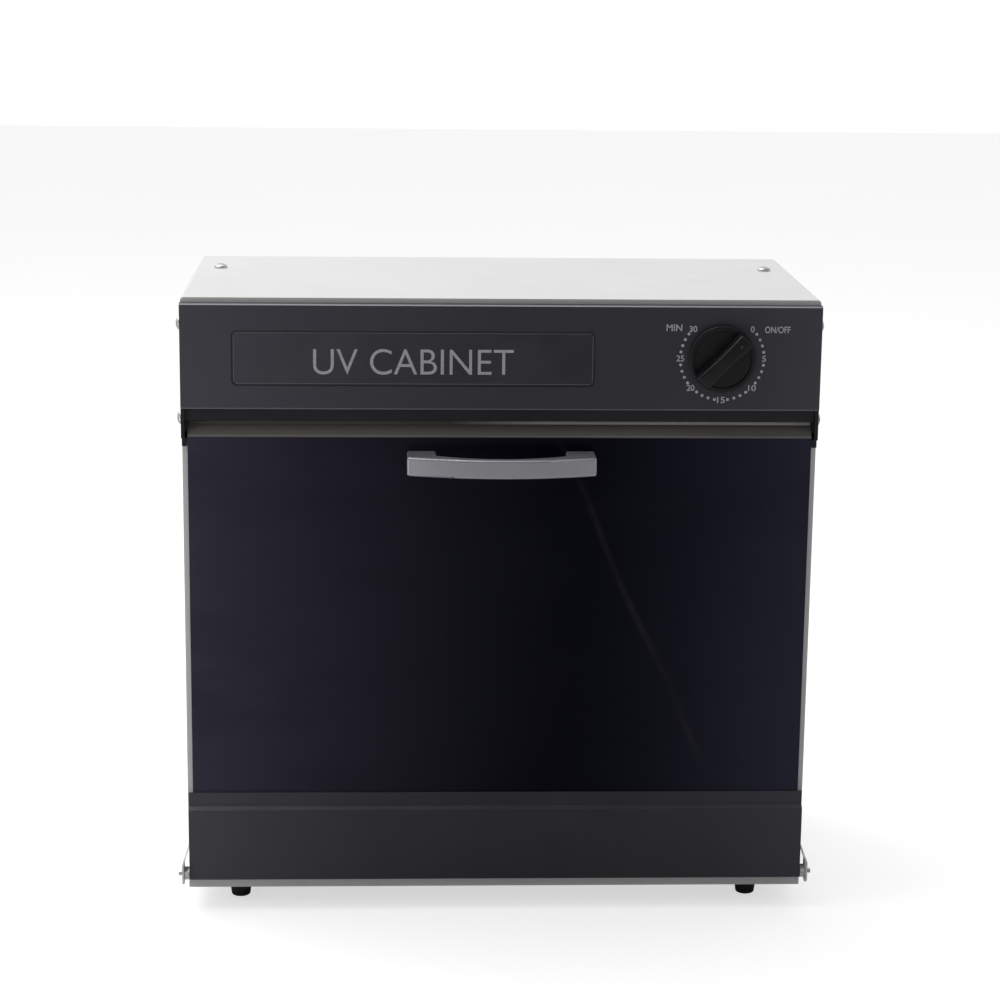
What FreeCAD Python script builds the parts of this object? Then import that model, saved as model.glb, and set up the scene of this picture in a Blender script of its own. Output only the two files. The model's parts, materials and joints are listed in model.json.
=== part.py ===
"""UV sterilizer cabinet: a bent steel box with a black control fascia and a drop-down tinted door.

Millimetres. +Z is up and the front faces -Y. The origin lies under the middle of the whole object, on the
surface that the feet stand on. "Proud" means in front of the body's front plane.
"""

import FreeCAD, Part
import math
import os
import re
import Sketcher

Vector = FreeCAD.Vector

DIMENSIONS = {
    # Cabinet box and its sheet metal
    "body_width": 384, "body_height": 372.4, "body_depth": 190, "gauge": 1, "bend_radius": 2,
    "sheet_play": 0.2, "flange_width": 12, "side_flange_top": 299, "base_lip_height": 4.9,
    "base_rear_lip_height": 12, "bottom_flange_start": 18, "rear_relief": 12,
    # Hinge ears, bent out from the lower front corners of the side walls
    "notch_height": 26, "notch_depth": 2.4, "ear_gap": 2.5, "ear_slope_top": 41, "ear_slope_bottom": 31,
    "ear_bottom": 17.1, "ear_root_height": 5, "ear_reach": 10.6, "ear_rear": 1.2, "ear_corner": 5.5,
    "ear_trim": 3,
    # Door pivots
    "pivot_height": 24.3, "pivot_proud": 5.2, "pin_radius": 1.5, "pin_play": 0.06, "pin_tip": 6,
    "pin_depth": 12, "pivot_nut_radius": 4.4, "pivot_nut_play": 0.4,
    # Door: acrylic panel with a bent top lip, and its lower moulding
    "door_gap": 0.3, "panel_thickness": 3, "panel_width": 377.2, "panel_bottom": 58,
    "lip_bend_height": 302.1, "lip_rise": 7.8, "lip_lean": 7, "lip_edge_sagitta": 1.2,
    "moulding_width": 382.4, "moulding_bottom": 20.2, "moulding_step_low": 66.1,
    "moulding_step_high": 67.9, "moulding_top": 76.6,
    "moulding_proud": 7.2, "moulding_band_proud": 4.6, "moulding_corner": 0.8, "moulding_hollow_inset": 18,
    "moulding_hollow_low": 29, "moulding_hollow_high": 54, "moulding_skin": 2.4,
    # Handle
    "handle_length": 113.6, "handle_height": 11.5, "handle_level": 287.3, "handle_reach": 31.8,
    "handle_end_proud": 22.3, "handle_post_width": 17.5, "handle_bar": 6.2, "handle_edge": 1.4,
    "handle_hole_spacing": 96, "handle_screw_length": 15,
    # Magnetic catch on the right side wall, and its strike plate on the door
    "catch_level": 283, "catch_height": 14, "catch_inner": 164, "catch_depth": 12, "catch_setback": 1.6,
    "strike_width": 15, "strike_thickness": 1, "strike_inset": 2,
    # Control fascia: a moulded tray with two short legs beside the door's lip
    "fascia_width": 384.8, "fascia_top_gap": 3, "fascia_bottom": 318.6, "fascia_proud": 5,
    "fascia_bevel": 0.9, "fascia_skin": 2.5, "fascia_rim": 2.4, "fascia_skirt_proud": 1.8,
    "fascia_skirt_bottom": 311.2, "fascia_shelf": 2, "fascia_shelf_depth": 14, "fascia_cheek": 1.8,
    "fascia_cheek_bottom": 304, "fascia_cheek_top": 378, "fascia_cheek_depth": 13,
    "leg_inner": 190.2, "leg_proud": 4, "leg_step": 300.4, "leg_bottom": 295.4,
    "leg_foot_inner": 189.2, "leg_foot_proud": 2, "leg_foot_inset": 0.3,
    # Label plate in its recess
    "label_left": -161.9, "label_right": 55.9, "label_bottom": 332.9, "label_top": 366.5,
    "label_recess": 0.8, "label_plate": 0.5, "label_margin": 1.2, "label_corner": 3.5,
    # Timer, its shaft and knob
    "timer_place": 132.4, "timer_level": 350.6, "timer_case": 38, "timer_case_depth": 30,
    "bush_radius": 4.5, "shaft_radius": 3, "shaft_play": 0.06, "shaft_depth": 12, "shaft_proud": 18,
    "knob_radius": 20.25, "knob_gap": 0.5, "skirt_thickness": 3.6, "skirt_bevel": 1, "grip_width": 9.4,
    "grip_height": 11.5, "grip_edge": 1.2, "grip_inset": 0.4, "bore_play": 0.05, "timer_screw_spacing": 28,
    # Chamber ceiling with its hangers
    "ceiling_level": 311.6, "ceiling_lip": 12, "ceiling_start": 14.4, "hanger_width": 16,
    "hanger_flange": 14, "hanger_gauge": 1.2, "top_screw_place": 176, "top_screw_depth": 132,
    "hanger_side": 6,
    # Lamp, holders and reflector
    "lamp_depth": 62, "lamp_drop": 22, "tube_radius": 7.75, "tube_length": 268, "cap_radius": 8.25,
    "cap_length": 10, "lamp_pin_radius": 1.15, "lamp_pin_length": 7, "lamp_pin_spacing": 5,
    "holder_width": 24, "holder_thickness": 9, "holder_drop": 11, "holder_slot": 1.6,
    "holder_gap": 0.3, "reflector_gauge": 0.6, "reflector_flat": 20, "reflector_spread": 17,
    "reflector_fall": 17, "reflector_length": 280,
    # Electrics above the ceiling
    "ballast_place": -60, "ballast_depth": 96, "ballast_length": 88, "ballast_width": 42,
    "ballast_height": 30, "ballast_foot": 10, "ballast_foot_gauge": 1.5,
    "starter_place": 30, "starter_depth": 96, "starter_radius": 10.75, "starter_length": 34,
    "starter_base_radius": 13, "starter_base_height": 8, "terminal_place": -120, "terminal_depth": 161,
    "terminal_length": 42, "terminal_width": 16, "terminal_height": 17, "terminal_bore": 2.2,
    "wire_radius": 1.2, "wire_bend": 6, "wire_level": 362, "wire_lane": 48, "wire_run": 16,
    "wire_reach": 40, "wire_rise": 14,
    # Wire racks and their rails
    "upper_rack_level": 205, "lower_rack_level": 105, "rail_ledge": 19, "rail_leg": 10,
    "rail_start": 10, "rail_end": 12, "rack_width": 358.6, "rack_start": 6, "rack_end": 14,
    "frame_wire_radius": 2, "rung_radius": 1.25, "rack_play": 0.15, "rack_rungs": 13,
    # Feet
    "foot_height": 13, "foot_top_radius": 7.6, "foot_bottom_radius": 6, "foot_place": 161,
    "foot_depth": 22, "foot_edge": 1,
    # Fasteners
    "head_radius": 4.2, "head_height": 2.6, "shank_radius": 2, "hole_play": 0.1,
    "small_head_radius": 2.9, "small_head_height": 1.6, "small_shank_radius": 1.5,
    "side_screw_depth": 8, "side_head_height": 3.4, "side_screw_high": 368.8, "side_screw_low": 311.2,
    "screw_length": 8,
    "edge_screw_inset": 6, "rear_screw_low": 45, "rear_screw_high": 350, "base_screw_front": 40,
    "base_screw_rear": 30, "foot_screw_length": 10, "timer_screw_radius": 1.5,
    # Rear panel vents and cable bushing
    "vent_count": 14, "vent_width": 3, "vent_corner": 1.2, "vent_height": 26, "vent_pitch": 8,
    "vent_level": 347, "vent_start": 40, "bushing_place": -120, "bushing_level": 335, "bushing_radius": 6,
    "bushing_flange_radius": 9, "bushing_flange": 2.2, "bushing_inside": 6, "cable_bore": 3.4,
}

DERIVED = {
    "half_width": "body_width / 2",
    "bottom": "foot_height",
    "top": "foot_height + body_height",
    "front": "(handle_reach - body_depth - bushing_flange) / 2",
    "rear": "front + body_depth",
    "inside": "half_width - gauge",
    "ear_inner": "half_width + ear_gap",
    "ear_outer": "ear_inner + gauge",
    "pivot_y": "front - pivot_proud",
    "panel_back": "front - door_gap",
    "panel_face": "panel_back - panel_thickness",
    "lip_length": "sqrt(lip_rise * lip_rise + lip_lean * lip_lean)",
    "handle_low": "handle_level - handle_height / 2",
    "fascia_top": "top - fascia_top_gap",
    "fascia_face": "front - fascia_proud",
    "fascia_back": "fascia_face + fascia_skin",
    "knob_back": "fascia_face - knob_gap",
    "ceiling_top": "ceiling_level + gauge",
    "lamp_y": "front + lamp_depth",
    "lamp_z": "ceiling_level - lamp_drop",
    "cap_end": "tube_length / 2 + cap_length",
}

doc = FreeCAD.newDocument("UvSterilizerCabinet")
sheet = doc.addObject("Spreadsheet::Sheet", "Sizes")
for row, (alias, size) in enumerate(DIMENSIONS.items(), 1):
    sheet.set(f"A{row}", alias)
    sheet.set(f"B{row}", str(size))
    sheet.setAlias(f"B{row}", alias)
doc.recompute()

WORD = re.compile(r"\b[a-z_]+\b")
NODES = []


def bound(formula):
    """The formula as an expression on the sheet's cells, with the derived sizes written out."""

    def spell(match):
        word = match.group(0)
        if word in DERIVED:
            return f"({bound(DERIVED[word])})"
        return f"Sizes.{word}" if word in DIMENSIONS else word

    return WORD.sub(spell, str(formula))


def value(formula):
    result = sheet.evalExpression(bound(formula))
    return float(getattr(result, "Value", result))


def bind(obj, **formulas):
    for name, formula in formulas.items():
        obj.setExpression(name.replace("__", "."), bound(formula))
    return obj


def keep(obj, label):
    """Names a finished sub-part and lists it for export."""
    obj.Label = label
    NODES.append(obj)
    return obj


# ---- Sketched features ----

# For each drawing plane: its role, the sign from the global coordinate to the plane's offset, and its axis.
PLANES = {"XY": ("XY_Plane", 1), "XZ": ("XZ_Plane", -1), "YZ": ("YZ_Plane", 1)}
CORNER_SAGITTA = 0.2929  # of the radius, for a quarter round
NEAR = 0.1  # mm within which an edge counts as lying on a level
TINY = 1e-6


def new_body(label):
    return keep(doc.addObject("PartDesign::Body", label), label)


def sketch_on(body, plane, level):
    role, sign = PLANES[plane]
    sketch = body.newObject("Sketcher::SketchObject", f"{body.Name}_outline")
    face = next(f for f in body.Origin.OriginFeatures if f.Role == role)
    sketch.AttachmentSupport = [(face, "")]
    sketch.MapMode = "FlatFace"
    sketch.setExpression("AttachmentOffset.Base.z", bound(f"{sign} * ({level})"))
    return sketch


def fix(sketch, kind, *geometry, formula):
    """Adds one dimension whose size is bound to the sheet."""
    index = sketch.addConstraint(Sketcher.Constraint(kind, *geometry, value(formula)))
    sketch.setExpression(f"Constraints[{index}]", bound(formula))


def place_point(sketch, geometry, end, point):
    for kind, axis, formula in (("DistanceX", -2, point[0]), ("DistanceY", -1, point[1])):
        if abs(value(formula)) < TINY:
            sketch.addConstraint(Sketcher.Constraint("PointOnObject", geometry, end, axis))
        else:
            fix(sketch, kind, -1, 1, geometry, end, formula=formula)


def draw_loop(sketch, points):
    """A closed outline. A point's third entry is the sagitta of the arc after it, left of the way."""
    flat = [Vector(value(p[0]), value(p[1]), 0) for p in points]
    ends = []
    for index, point in enumerate(points):
        a, b = flat[index], flat[(index + 1) % len(flat)]
        if len(point) == 2:
            ends.append((sketch.addGeometry(Part.LineSegment(a, b), False), 1, 2))
            continue
        left = Vector(a.y - b.y, b.x - a.x, 0).normalize()
        middle = (a + b) * 0.5 + left * value(point[2])
        arc = sketch.addGeometry(Part.Arc(a, middle, b), False)
        forward = sketch.getPoint(arc, 1).distanceToPoint(a) < sketch.getPoint(arc, 2).distanceToPoint(a)
        ends.append((arc, 1, 2) if forward else (arc, 2, 1))
        other = points[(index + 1) % len(points)]
        chord = f"(({other[0]}) - ({point[0]}))^2 + (({other[1]}) - ({point[1]}))^2"
        fix(sketch, "Radius", arc, formula=f"abs(({chord}) / 8 / ({point[2]}) + ({point[2]}) / 2)")
    for index, (geometry, start, stop) in enumerate(ends):
        following = ends[(index + 1) % len(ends)]
        sketch.addConstraint(Sketcher.Constraint("Coincident", geometry, stop, following[0], following[1]))
        place_point(sketch, geometry, start, points[index])


def draw_circle(sketch, circle):
    u, v, radius = circle
    at = Vector(value(u), value(v), 0)
    geometry = sketch.addGeometry(Part.Circle(at, Vector(0, 0, 1), value(radius)), False)
    fix(sketch, "Radius", geometry, formula=radius)
    place_point(sketch, geometry, 3, (u, v))


def prism(body, plane, start, stop, loops=(), circles=(), cut=False):
    """Pads or pockets outlines between two global levels along the plane's axis."""
    sketch = sketch_on(body, plane, start)
    for loop in loops:
        draw_loop(sketch, loop)
    for circle in circles:
        draw_circle(sketch, circle)
    kind = "Pocket" if cut else "Pad"
    feature = body.newObject(f"PartDesign::{kind}", f"{body.Name}_{kind}")
    feature.Profile = sketch
    feature.setExpression("Length", bound(f"({stop}) - ({start})"))
    feature.Reversed = (plane == "XZ") != cut
    return feature


def pocket(body, plane, start, stop, loops=(), circles=()):
    return prism(body, plane, start, stop, loops, circles, cut=True)


def rectangle(u0, v0, u1, v1):
    return [(u0, v0), (u1, v0), (u1, v1), (u0, v1)]


def rounded(u0, v0, u1, v1, radius):
    """A rectangle with quarter-round corners, drawn anticlockwise, so its corners bulge to the right."""
    bulge = f"-{CORNER_SAGITTA} * ({radius})"
    return [
        (f"{u0} + {radius}", v0), (f"{u1} - {radius}", v0, bulge),
        (u1, f"{v0} + {radius}"), (u1, f"{v1} - {radius}", bulge),
        (f"{u1} - {radius}", v1), (f"{u0} + {radius}", v1, bulge),
        (u0, f"{v1} - {radius}"), (u0, f"{v0} + {radius}", bulge),
    ]


def on(coordinate, level):
    return abs(coordinate - level) < NEAR


def runs_across(way):
    """Whether an edge's direction is that of the cabinet's width."""
    return abs(way.x) > 1 - NEAR


def soften(body, radius, choose, kind="Fillet"):
    """Rounds or bevels the edges of the body that `choose` accepts by their middle and direction."""
    doc.recompute()
    base, names = body.Tip, []
    for index, edge in enumerate(base.Shape.Edges, 1):
        first, last = edge.Vertexes[0].Point, edge.Vertexes[-1].Point
        way = (last - first).normalize() if last.distanceToPoint(first) > TINY else Vector()
        if choose(edge.CenterOfMass, way):
            names.append(f"Edge{index}")
    feature = body.newObject(f"PartDesign::{kind}", f"{body.Name}_{kind}")
    feature.Base = (base, names)
    feature.setExpression("Radius" if kind == "Fillet" else "Size", bound(radius))
    return feature


# ---- Primitive pieces ----

ALONG = {
    "+X": FreeCAD.Rotation(Vector(0, 1, 0), 90), "-X": FreeCAD.Rotation(Vector(0, 1, 0), -90),
    "+Y": FreeCAD.Rotation(Vector(1, 0, 0), -90), "-Y": FreeCAD.Rotation(Vector(1, 0, 0), 90),
    "+Z": FreeCAD.Rotation(), "-Z": FreeCAD.Rotation(Vector(1, 0, 0), 180),
}


def locate(obj, x, y, z, way="+Z"):
    obj.Placement = FreeCAD.Placement(Vector(), ALONG[way])
    return bind(obj, Placement__Base__x=x, Placement__Base__y=y, Placement__Base__z=z)


def rod(x, y, z, radius, length, way="+Z"):
    return bind(locate(doc.addObject("Part::Cylinder", "Rod"), x, y, z, way), Radius=radius, Height=length)


def block(x, y, z, length, width, height):
    box = locate(doc.addObject("Part::Box", "Block"), x, y, z)
    return bind(box, Length=length, Width=width, Height=height)


def taper(x, y, z, low_radius, high_radius, height, way="+Z"):
    cone = locate(doc.addObject("Part::Cone", "Taper"), x, y, z, way)
    return bind(cone, Radius1=low_radius, Radius2=high_radius, Height=height)


def joined(pieces):
    fusion = doc.addObject("Part::MultiFuse", "Joined")
    fusion.Shapes = pieces
    return fusion


def less(base, tool):
    cut = doc.addObject("Part::Cut", "Less")
    cut.Base = base
    cut.Tool = tool
    return cut


def group(label, pieces):
    """Several separate solids that share one node."""
    compound = doc.addObject("Part::Compound", label)
    compound.Links = pieces
    return keep(compound, label)


def screw(x, y, z, way, length, head="head_radius", rise="head_height", shank="shank_radius"):
    """A domed screw: its head stands on the given point, and its shank runs along `way` from there."""
    dome = doc.addObject("Part::Ellipsoid", "Head")
    dome.Angle1 = 0
    bind(dome, Radius1=rise, Radius2=head, Radius3=head)
    against = {"+": "-", "-": "+"}[way[0]] + way[1]
    locate(dome, x, y, z, against)
    return joined([dome, rod(x, y, z, shank, length, way)])


def small_screw(x, y, z, way, length):
    return screw(x, y, z, way, length, "small_head_radius", "small_head_height", "small_shank_radius")


def both_sides(formula):
    return [f"-({formula})", formula]


# ---- Sheet-metal box ----


def outer_shell():
    """One sheet bent over the top and both sides, with return flanges and the two hinge ears."""
    body = new_body("outer_shell")
    outer_bulge = f"{CORNER_SAGITTA} * bend_radius"
    inner_bulge = f"-{CORNER_SAGITTA} * (bend_radius - gauge)"
    arch = [
        ("-half_width", "bottom"), ("-half_width", "top - bend_radius", outer_bulge),
        ("bend_radius - half_width", "top"), ("half_width - bend_radius", "top", outer_bulge),
        ("half_width", "top - bend_radius"), ("half_width", "bottom"), ("inside", "bottom"),
        ("inside", "top - bend_radius", inner_bulge), ("half_width - bend_radius", "top - gauge"),
        ("bend_radius - half_width", "top - gauge", inner_bulge), ("-inside", "top - bend_radius"),
        ("-inside", "bottom"),
    ]
    prism(body, "XZ", "front", "rear", [arch])
    corner = rectangle("front - gauge", "bottom - gauge", "front + notch_depth", "bottom + notch_height")
    pocket(body, "YZ", "-half_width - gauge", "half_width + gauge", [corner])
    flange = "half_width - flange_width"
    side_flanges = [
        rectangle("-inside", "ear_slope_top", f"-({flange})", "side_flange_top"),
        rectangle(flange, "ear_slope_top", "inside", "side_flange_top"),
    ]
    tab_low = "fascia_cheek_top + gauge"
    top_flange = [
        ("-inside", "top - gauge"), ("-inside", tab_low), (f"-({flange})", tab_low),
        (f"-({flange})", "top - flange_width"), (flange, "top - flange_width"), (flange, tab_low),
        ("inside", tab_low), ("inside", "top - gauge"),
    ]
    prism(body, "XZ", "front", "front + gauge", side_flanges + [top_flange])
    rear_flanges = [
        rectangle("-inside", "bottom + flange_width", f"-({flange})", "top - flange_width"),
        rectangle(flange, "bottom + flange_width", "inside", "top - flange_width"),
        rectangle(f"gauge - ({flange})", "top - flange_width", f"{flange} - gauge", "top - gauge"),
    ]
    prism(body, "XZ", "rear - 2 * gauge", "rear - gauge", rear_flanges)
    bottom_flanges = [
        rectangle("-inside", "front + bottom_flange_start", f"-({flange})", "rear - rear_relief"),
        rectangle(flange, "front + bottom_flange_start", "inside", "rear - rear_relief"),
    ]
    prism(body, "XY", "bottom + gauge", "bottom + 2 * gauge", bottom_flanges)
    for side in ("", "-"):
        joggle = [
            (f"{side}inside", "ear_slope_top + ear_root_height"), (f"{side}inside", "ear_slope_top"),
            (f"{side}ear_inner", "ear_slope_bottom"), (f"{side}ear_inner", "ear_bottom"),
            (f"{side}ear_outer", "ear_bottom"), (f"{side}ear_outer", "ear_slope_bottom"),
            (f"{side}half_width", "ear_slope_top"),
            (f"{side}half_width", "ear_slope_top + ear_root_height"),
        ]
        prism(body, "XZ", "front - ear_reach", "front + ear_rear", [joggle])
    trim = [
        ("front - ear_reach - gauge", "ear_slope_bottom + ear_trim"),
        ("front - ear_trim", "ear_slope_top - 2 * gauge"), ("front", "ear_slope_top - gauge"),
        ("front", "ear_slope_top + 2 * ear_root_height"),
        ("front - ear_reach - gauge", "ear_slope_top + 2 * ear_root_height"),
    ]
    pocket(body, "YZ", "-ear_outer - gauge", "ear_outer + gauge", [trim])
    low = value("ear_bottom")
    soften(body, "ear_corner", lambda at, way: on(at.z, low) and runs_across(way))
    pin_hole = ("pivot_y", "pivot_height", "pin_radius + pin_play")
    pocket(body, "YZ", "-ear_outer - gauge", "ear_outer + gauge", circles=[pin_hole])
    side_holes = [
        ("front + side_screw_depth", level, "shank_radius + hole_play")
        for level in ("side_screw_low", "side_screw_high")
    ]
    pocket(body, "YZ", "-half_width - gauge", "half_width + gauge", circles=side_holes)
    top_holes = [
        (x, "front + top_screw_depth", "shank_radius + hole_play") for x in both_sides("top_screw_place")
    ]
    pocket(body, "XY", "top - 2 * gauge", "top + gauge", circles=top_holes)
    pocket(body, "XZ", "rear - 3 * gauge", "rear", circles=edge_holes(REAR_SCREW_LEVELS))
    pocket(body, "XY", "bottom", "bottom + 3 * gauge", circles=edge_holes(BASE_SCREW_DEPTHS))


REAR_SCREW_LEVELS = ("rear_screw_low", "(rear_screw_low + rear_screw_high) / 2", "rear_screw_high")
BASE_SCREW_DEPTHS = ("front + base_screw_front", "rear - base_screw_rear")


def edge_holes(places):
    """Small screw holes down both side edges of a panel."""
    radius = "small_shank_radius + hole_play"
    return [(x, v, radius) for x in both_sides("half_width - edge_screw_inset") for v in places]


def base_panel():
    body = new_body("base_panel")
    side = "inside - sheet_play"
    prism(body, "XY", "bottom", "bottom + gauge", [rectangle(f"-({side})", "front", side, "rear - gauge")])
    prism(
        body, "XZ", "front", "front + gauge",
        [rectangle("-half_width", "bottom", "half_width", "bottom + base_lip_height")],
    )
    reach = "half_width - flange_width - gauge"
    prism(
        body, "XZ", "rear - 2 * gauge", "rear - gauge",
        [rectangle(f"-({reach})", "bottom", reach, "bottom + base_rear_lip_height")],
    )
    feet = [(x, y, "shank_radius + hole_play") for x, y in foot_places()]
    pocket(body, "XY", "bottom - gauge", "bottom + 2 * gauge", circles=feet + edge_holes(BASE_SCREW_DEPTHS))


def rear_panel():
    """Flat sheet with a row of vent slots behind the electrics and a hole for the cable bushing."""
    body = new_body("rear_panel")
    side = "inside - sheet_play"
    low, high = "bottom + sheet_play", "top - gauge - sheet_play"
    outline = [
        (f"-({side})", low), (side, low), (side, "top - bend_radius"), (f"{side} - gauge", high),
        (f"gauge - ({side})", high), (f"-({side})", "top - bend_radius"),
    ]
    prism(body, "XZ", "rear - gauge", "rear", [outline])
    cable_hole = ("bushing_place", "bushing_level", "bushing_radius")
    holes = edge_holes(REAR_SCREW_LEVELS) + [cable_hole]
    pocket(body, "XZ", "rear - 2 * gauge", "rear + gauge", circles=holes)
    slot = rounded(
        "vent_start", "(vent_level - vent_height / 2)", "(vent_start + vent_width)",
        "(vent_level + vent_height / 2)", "vent_corner",
    )
    first = pocket(body, "XZ", "rear - 2 * gauge", "rear + gauge", [slot])
    row = body.newObject("PartDesign::LinearPattern", "vent_row")
    row.Originals = [first]
    row.Direction = (first.Profile[0], ["H_Axis"])
    bind(row, Length="(vent_count - 1) * vent_pitch", Occurrences="vent_count")
    body.Tip = row


def chamber_ceiling():
    """The sheet between the chamber and the electrics, with upturned lips at its sides and rear."""
    body = new_body("chamber_ceiling")
    side = "inside - sheet_play"
    tray = [
        (f"-({side})", "ceiling_level"), (side, "ceiling_level"), (side, "ceiling_level + ceiling_lip"),
        (f"{side} - gauge", "ceiling_level + ceiling_lip"), (f"{side} - gauge", "ceiling_top"),
        (f"gauge - ({side})", "ceiling_top"), (f"gauge - ({side})", "ceiling_level + ceiling_lip"),
        (f"-({side})", "ceiling_level + ceiling_lip"),
    ]
    prism(body, "XZ", "front + ceiling_start", "rear - 3 * gauge", [tray])
    rear_lip = rectangle(f"-({side})", "ceiling_level", side, "ceiling_level + ceiling_lip")
    prism(body, "XZ", "rear - 3 * gauge", "rear - 2 * gauge - sheet_play", [rear_lip])


def hanger(label, side):
    """A channel that hangs the ceiling from the top sheet, held by one top screw."""
    body = new_body(label)
    web = f"{side} * (top_screw_place - hanger_side)"
    inner = f"{side} * (top_screw_place - hanger_side + hanger_gauge)"
    tip = f"{side} * (top_screw_place - hanger_side + hanger_flange)"
    channel = [
        (web, "ceiling_top"), (tip, "ceiling_top"), (tip, "ceiling_top + hanger_gauge"),
        (inner, "ceiling_top + hanger_gauge"), (inner, "top - gauge - hanger_gauge"),
        (tip, "top - gauge - hanger_gauge"), (tip, "top - gauge"), (web, "top - gauge"),
    ]
    middle = "front + top_screw_depth"
    prism(body, "XZ", f"{middle} - hanger_width / 2", f"{middle} + hanger_width / 2", [channel])
    hole = (f"{side} * top_screw_place", middle, "shank_radius + hole_play")
    pocket(body, "XY", "top - 3 * gauge", "top", circles=[hole])


def rail(label, side, level):
    """An angle on the side wall whose ledge carries a rack."""
    body = new_body(label)
    angle = [
        (f"{side} * inside", f"{level} - gauge"), (f"{side} * (inside - rail_ledge)", f"{level} - gauge"),
        (f"{side} * (inside - rail_ledge)", level), (f"{side} * (inside - gauge)", level),
        (f"{side} * (inside - gauge)", f"{level} + rail_leg"), (f"{side} * inside", f"{level} + rail_leg"),
    ]
    prism(body, "XZ", "front + rail_start", "rear - rail_end", [angle])


def rack(label, level):
    """A welded wire rack: a heavy frame, rungs from front to rear and two tie wires under them."""
    edge = "rack_width / 2 - frame_wire_radius"
    near, far = "front + rack_start + frame_wire_radius", "rear - rack_end - frame_wire_radius"
    height = f"{level} + rack_play + frame_wire_radius"
    pieces = [rod(f"-({edge})", y, height, "frame_wire_radius", f"2 * ({edge})", "+X") for y in (near, far)]
    for x in both_sides(edge):
        pieces.append(rod(x, near, height, "frame_wire_radius", f"({far}) - ({near})", "+Y"))
        for y in (near, far):
            corner = locate(doc.addObject("Part::Sphere", "Corner"), x, y, height)
            pieces.append(bind(corner, Radius="frame_wire_radius"))
    rungs = DIMENSIONS["rack_rungs"]
    for index in range(1, rungs + 1):
        x = f"(2 * {index} / (rack_rungs + 1) - 1) * ({edge})"
        pieces.append(rod(x, near, height, "rung_radius", f"({far}) - ({near})", "+Y"))
    for share in (1, 2):
        y = f"({near}) + {share} / 3 * (({far}) - ({near}))"
        low = f"{height} - frame_wire_radius + rung_radius"
        pieces.append(rod(f"-({edge})", y, low, "rung_radius", f"2 * ({edge})", "+X"))
    keep(joined(pieces), label)


# ---- Fascia, label and timer ----


def control_fascia():
    """Moulded tray with a bevelled face, a set-back skirt, a shelf, inner cheeks and the two legs."""
    body = new_body("control_fascia")
    half = "fascia_width / 2"
    section = [
        ("front", "fascia_skirt_bottom"), ("front - fascia_skirt_proud", "fascia_skirt_bottom"),
        ("front - fascia_skirt_proud", "fascia_bottom"), ("fascia_face + fascia_bevel", "fascia_bottom"),
        ("fascia_face", "fascia_bottom + fascia_bevel"), ("fascia_face", "fascia_top - fascia_bevel"),
        ("fascia_face + fascia_bevel", "fascia_top"), ("front", "fascia_top"),
    ]
    prism(body, "YZ", f"-({half})", half, [section])
    hollow = rectangle(
        f"fascia_rim - {half}", "fascia_bottom + fascia_rim",
        f"{half} - fascia_rim", "fascia_top - fascia_rim",
    )
    pocket(body, "XZ", "fascia_back", "front + gauge", [hollow])
    cheek_outer = "inside - sheet_play"
    cheek_inner = "inside - sheet_play - fascia_cheek"
    shelf = rectangle(
        f"-({cheek_inner})", "fascia_skirt_bottom", cheek_inner, "fascia_skirt_bottom + fascia_shelf"
    )
    prism(body, "XZ", "front", "front + fascia_shelf_depth", [shelf])
    cheeks = [
        rectangle(f"-({cheek_outer})", "fascia_cheek_bottom", f"-({cheek_inner})", "fascia_cheek_top"),
        rectangle(cheek_inner, "fascia_cheek_bottom", cheek_outer, "fascia_cheek_top"),
    ]
    prism(body, "XZ", "front", "front + fascia_cheek_depth", cheeks)
    legs = [
        rectangle(f"-({half})", "leg_step", "-leg_inner", "fascia_bottom + fascia_rim"),
        rectangle("leg_inner", "leg_step", half, "fascia_bottom + fascia_rim"),
    ]
    prism(body, "XZ", "front - leg_proud", "front", legs)
    leg_feet = [
        rectangle(f"leg_foot_inset - {half}", "leg_bottom", "-leg_foot_inner", "leg_step"),
        rectangle("leg_foot_inner", "leg_bottom", f"{half} - leg_foot_inset", "leg_step"),
    ]
    prism(body, "XZ", "front - leg_foot_proud", "front", leg_feet)
    recess = rounded("label_left", "label_bottom", "label_right", "label_top", "label_corner")
    pocket(body, "XZ", "fascia_face - gauge", "fascia_face + label_recess", [recess])
    bush_hole = ("timer_place", "timer_level", "bush_radius + hole_play")
    pocket(body, "XZ", "fascia_face - gauge", "front", circles=[bush_hole] + timer_screw_holes())
    holes = [
        ("front + side_screw_depth", level, "shank_radius + hole_play")
        for level in ("side_screw_low", "side_screw_high")
    ]
    screw_end = "half_width - screw_length - gauge"
    pocket(body, "YZ", "-half_width", f"-({screw_end})", circles=holes)
    pocket(body, "YZ", screw_end, "half_width", circles=holes)


def timer_screw_holes():
    spread = "timer_screw_spacing / 2"
    return [
        (f"timer_place {sign} {spread}", "timer_level", "timer_screw_radius + hole_play") for sign in "+-"
    ]


def label_plate():
    body = new_body("label_plate")
    outline = rounded(
        "(label_left + label_margin)", "(label_bottom + label_margin)", "(label_right - label_margin)",
        "(label_top - label_margin)", "(label_corner - label_margin)",
    )
    base = "fascia_face + label_recess"
    prism(body, "XZ", f"{base} - label_plate", base, [outline])


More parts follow.
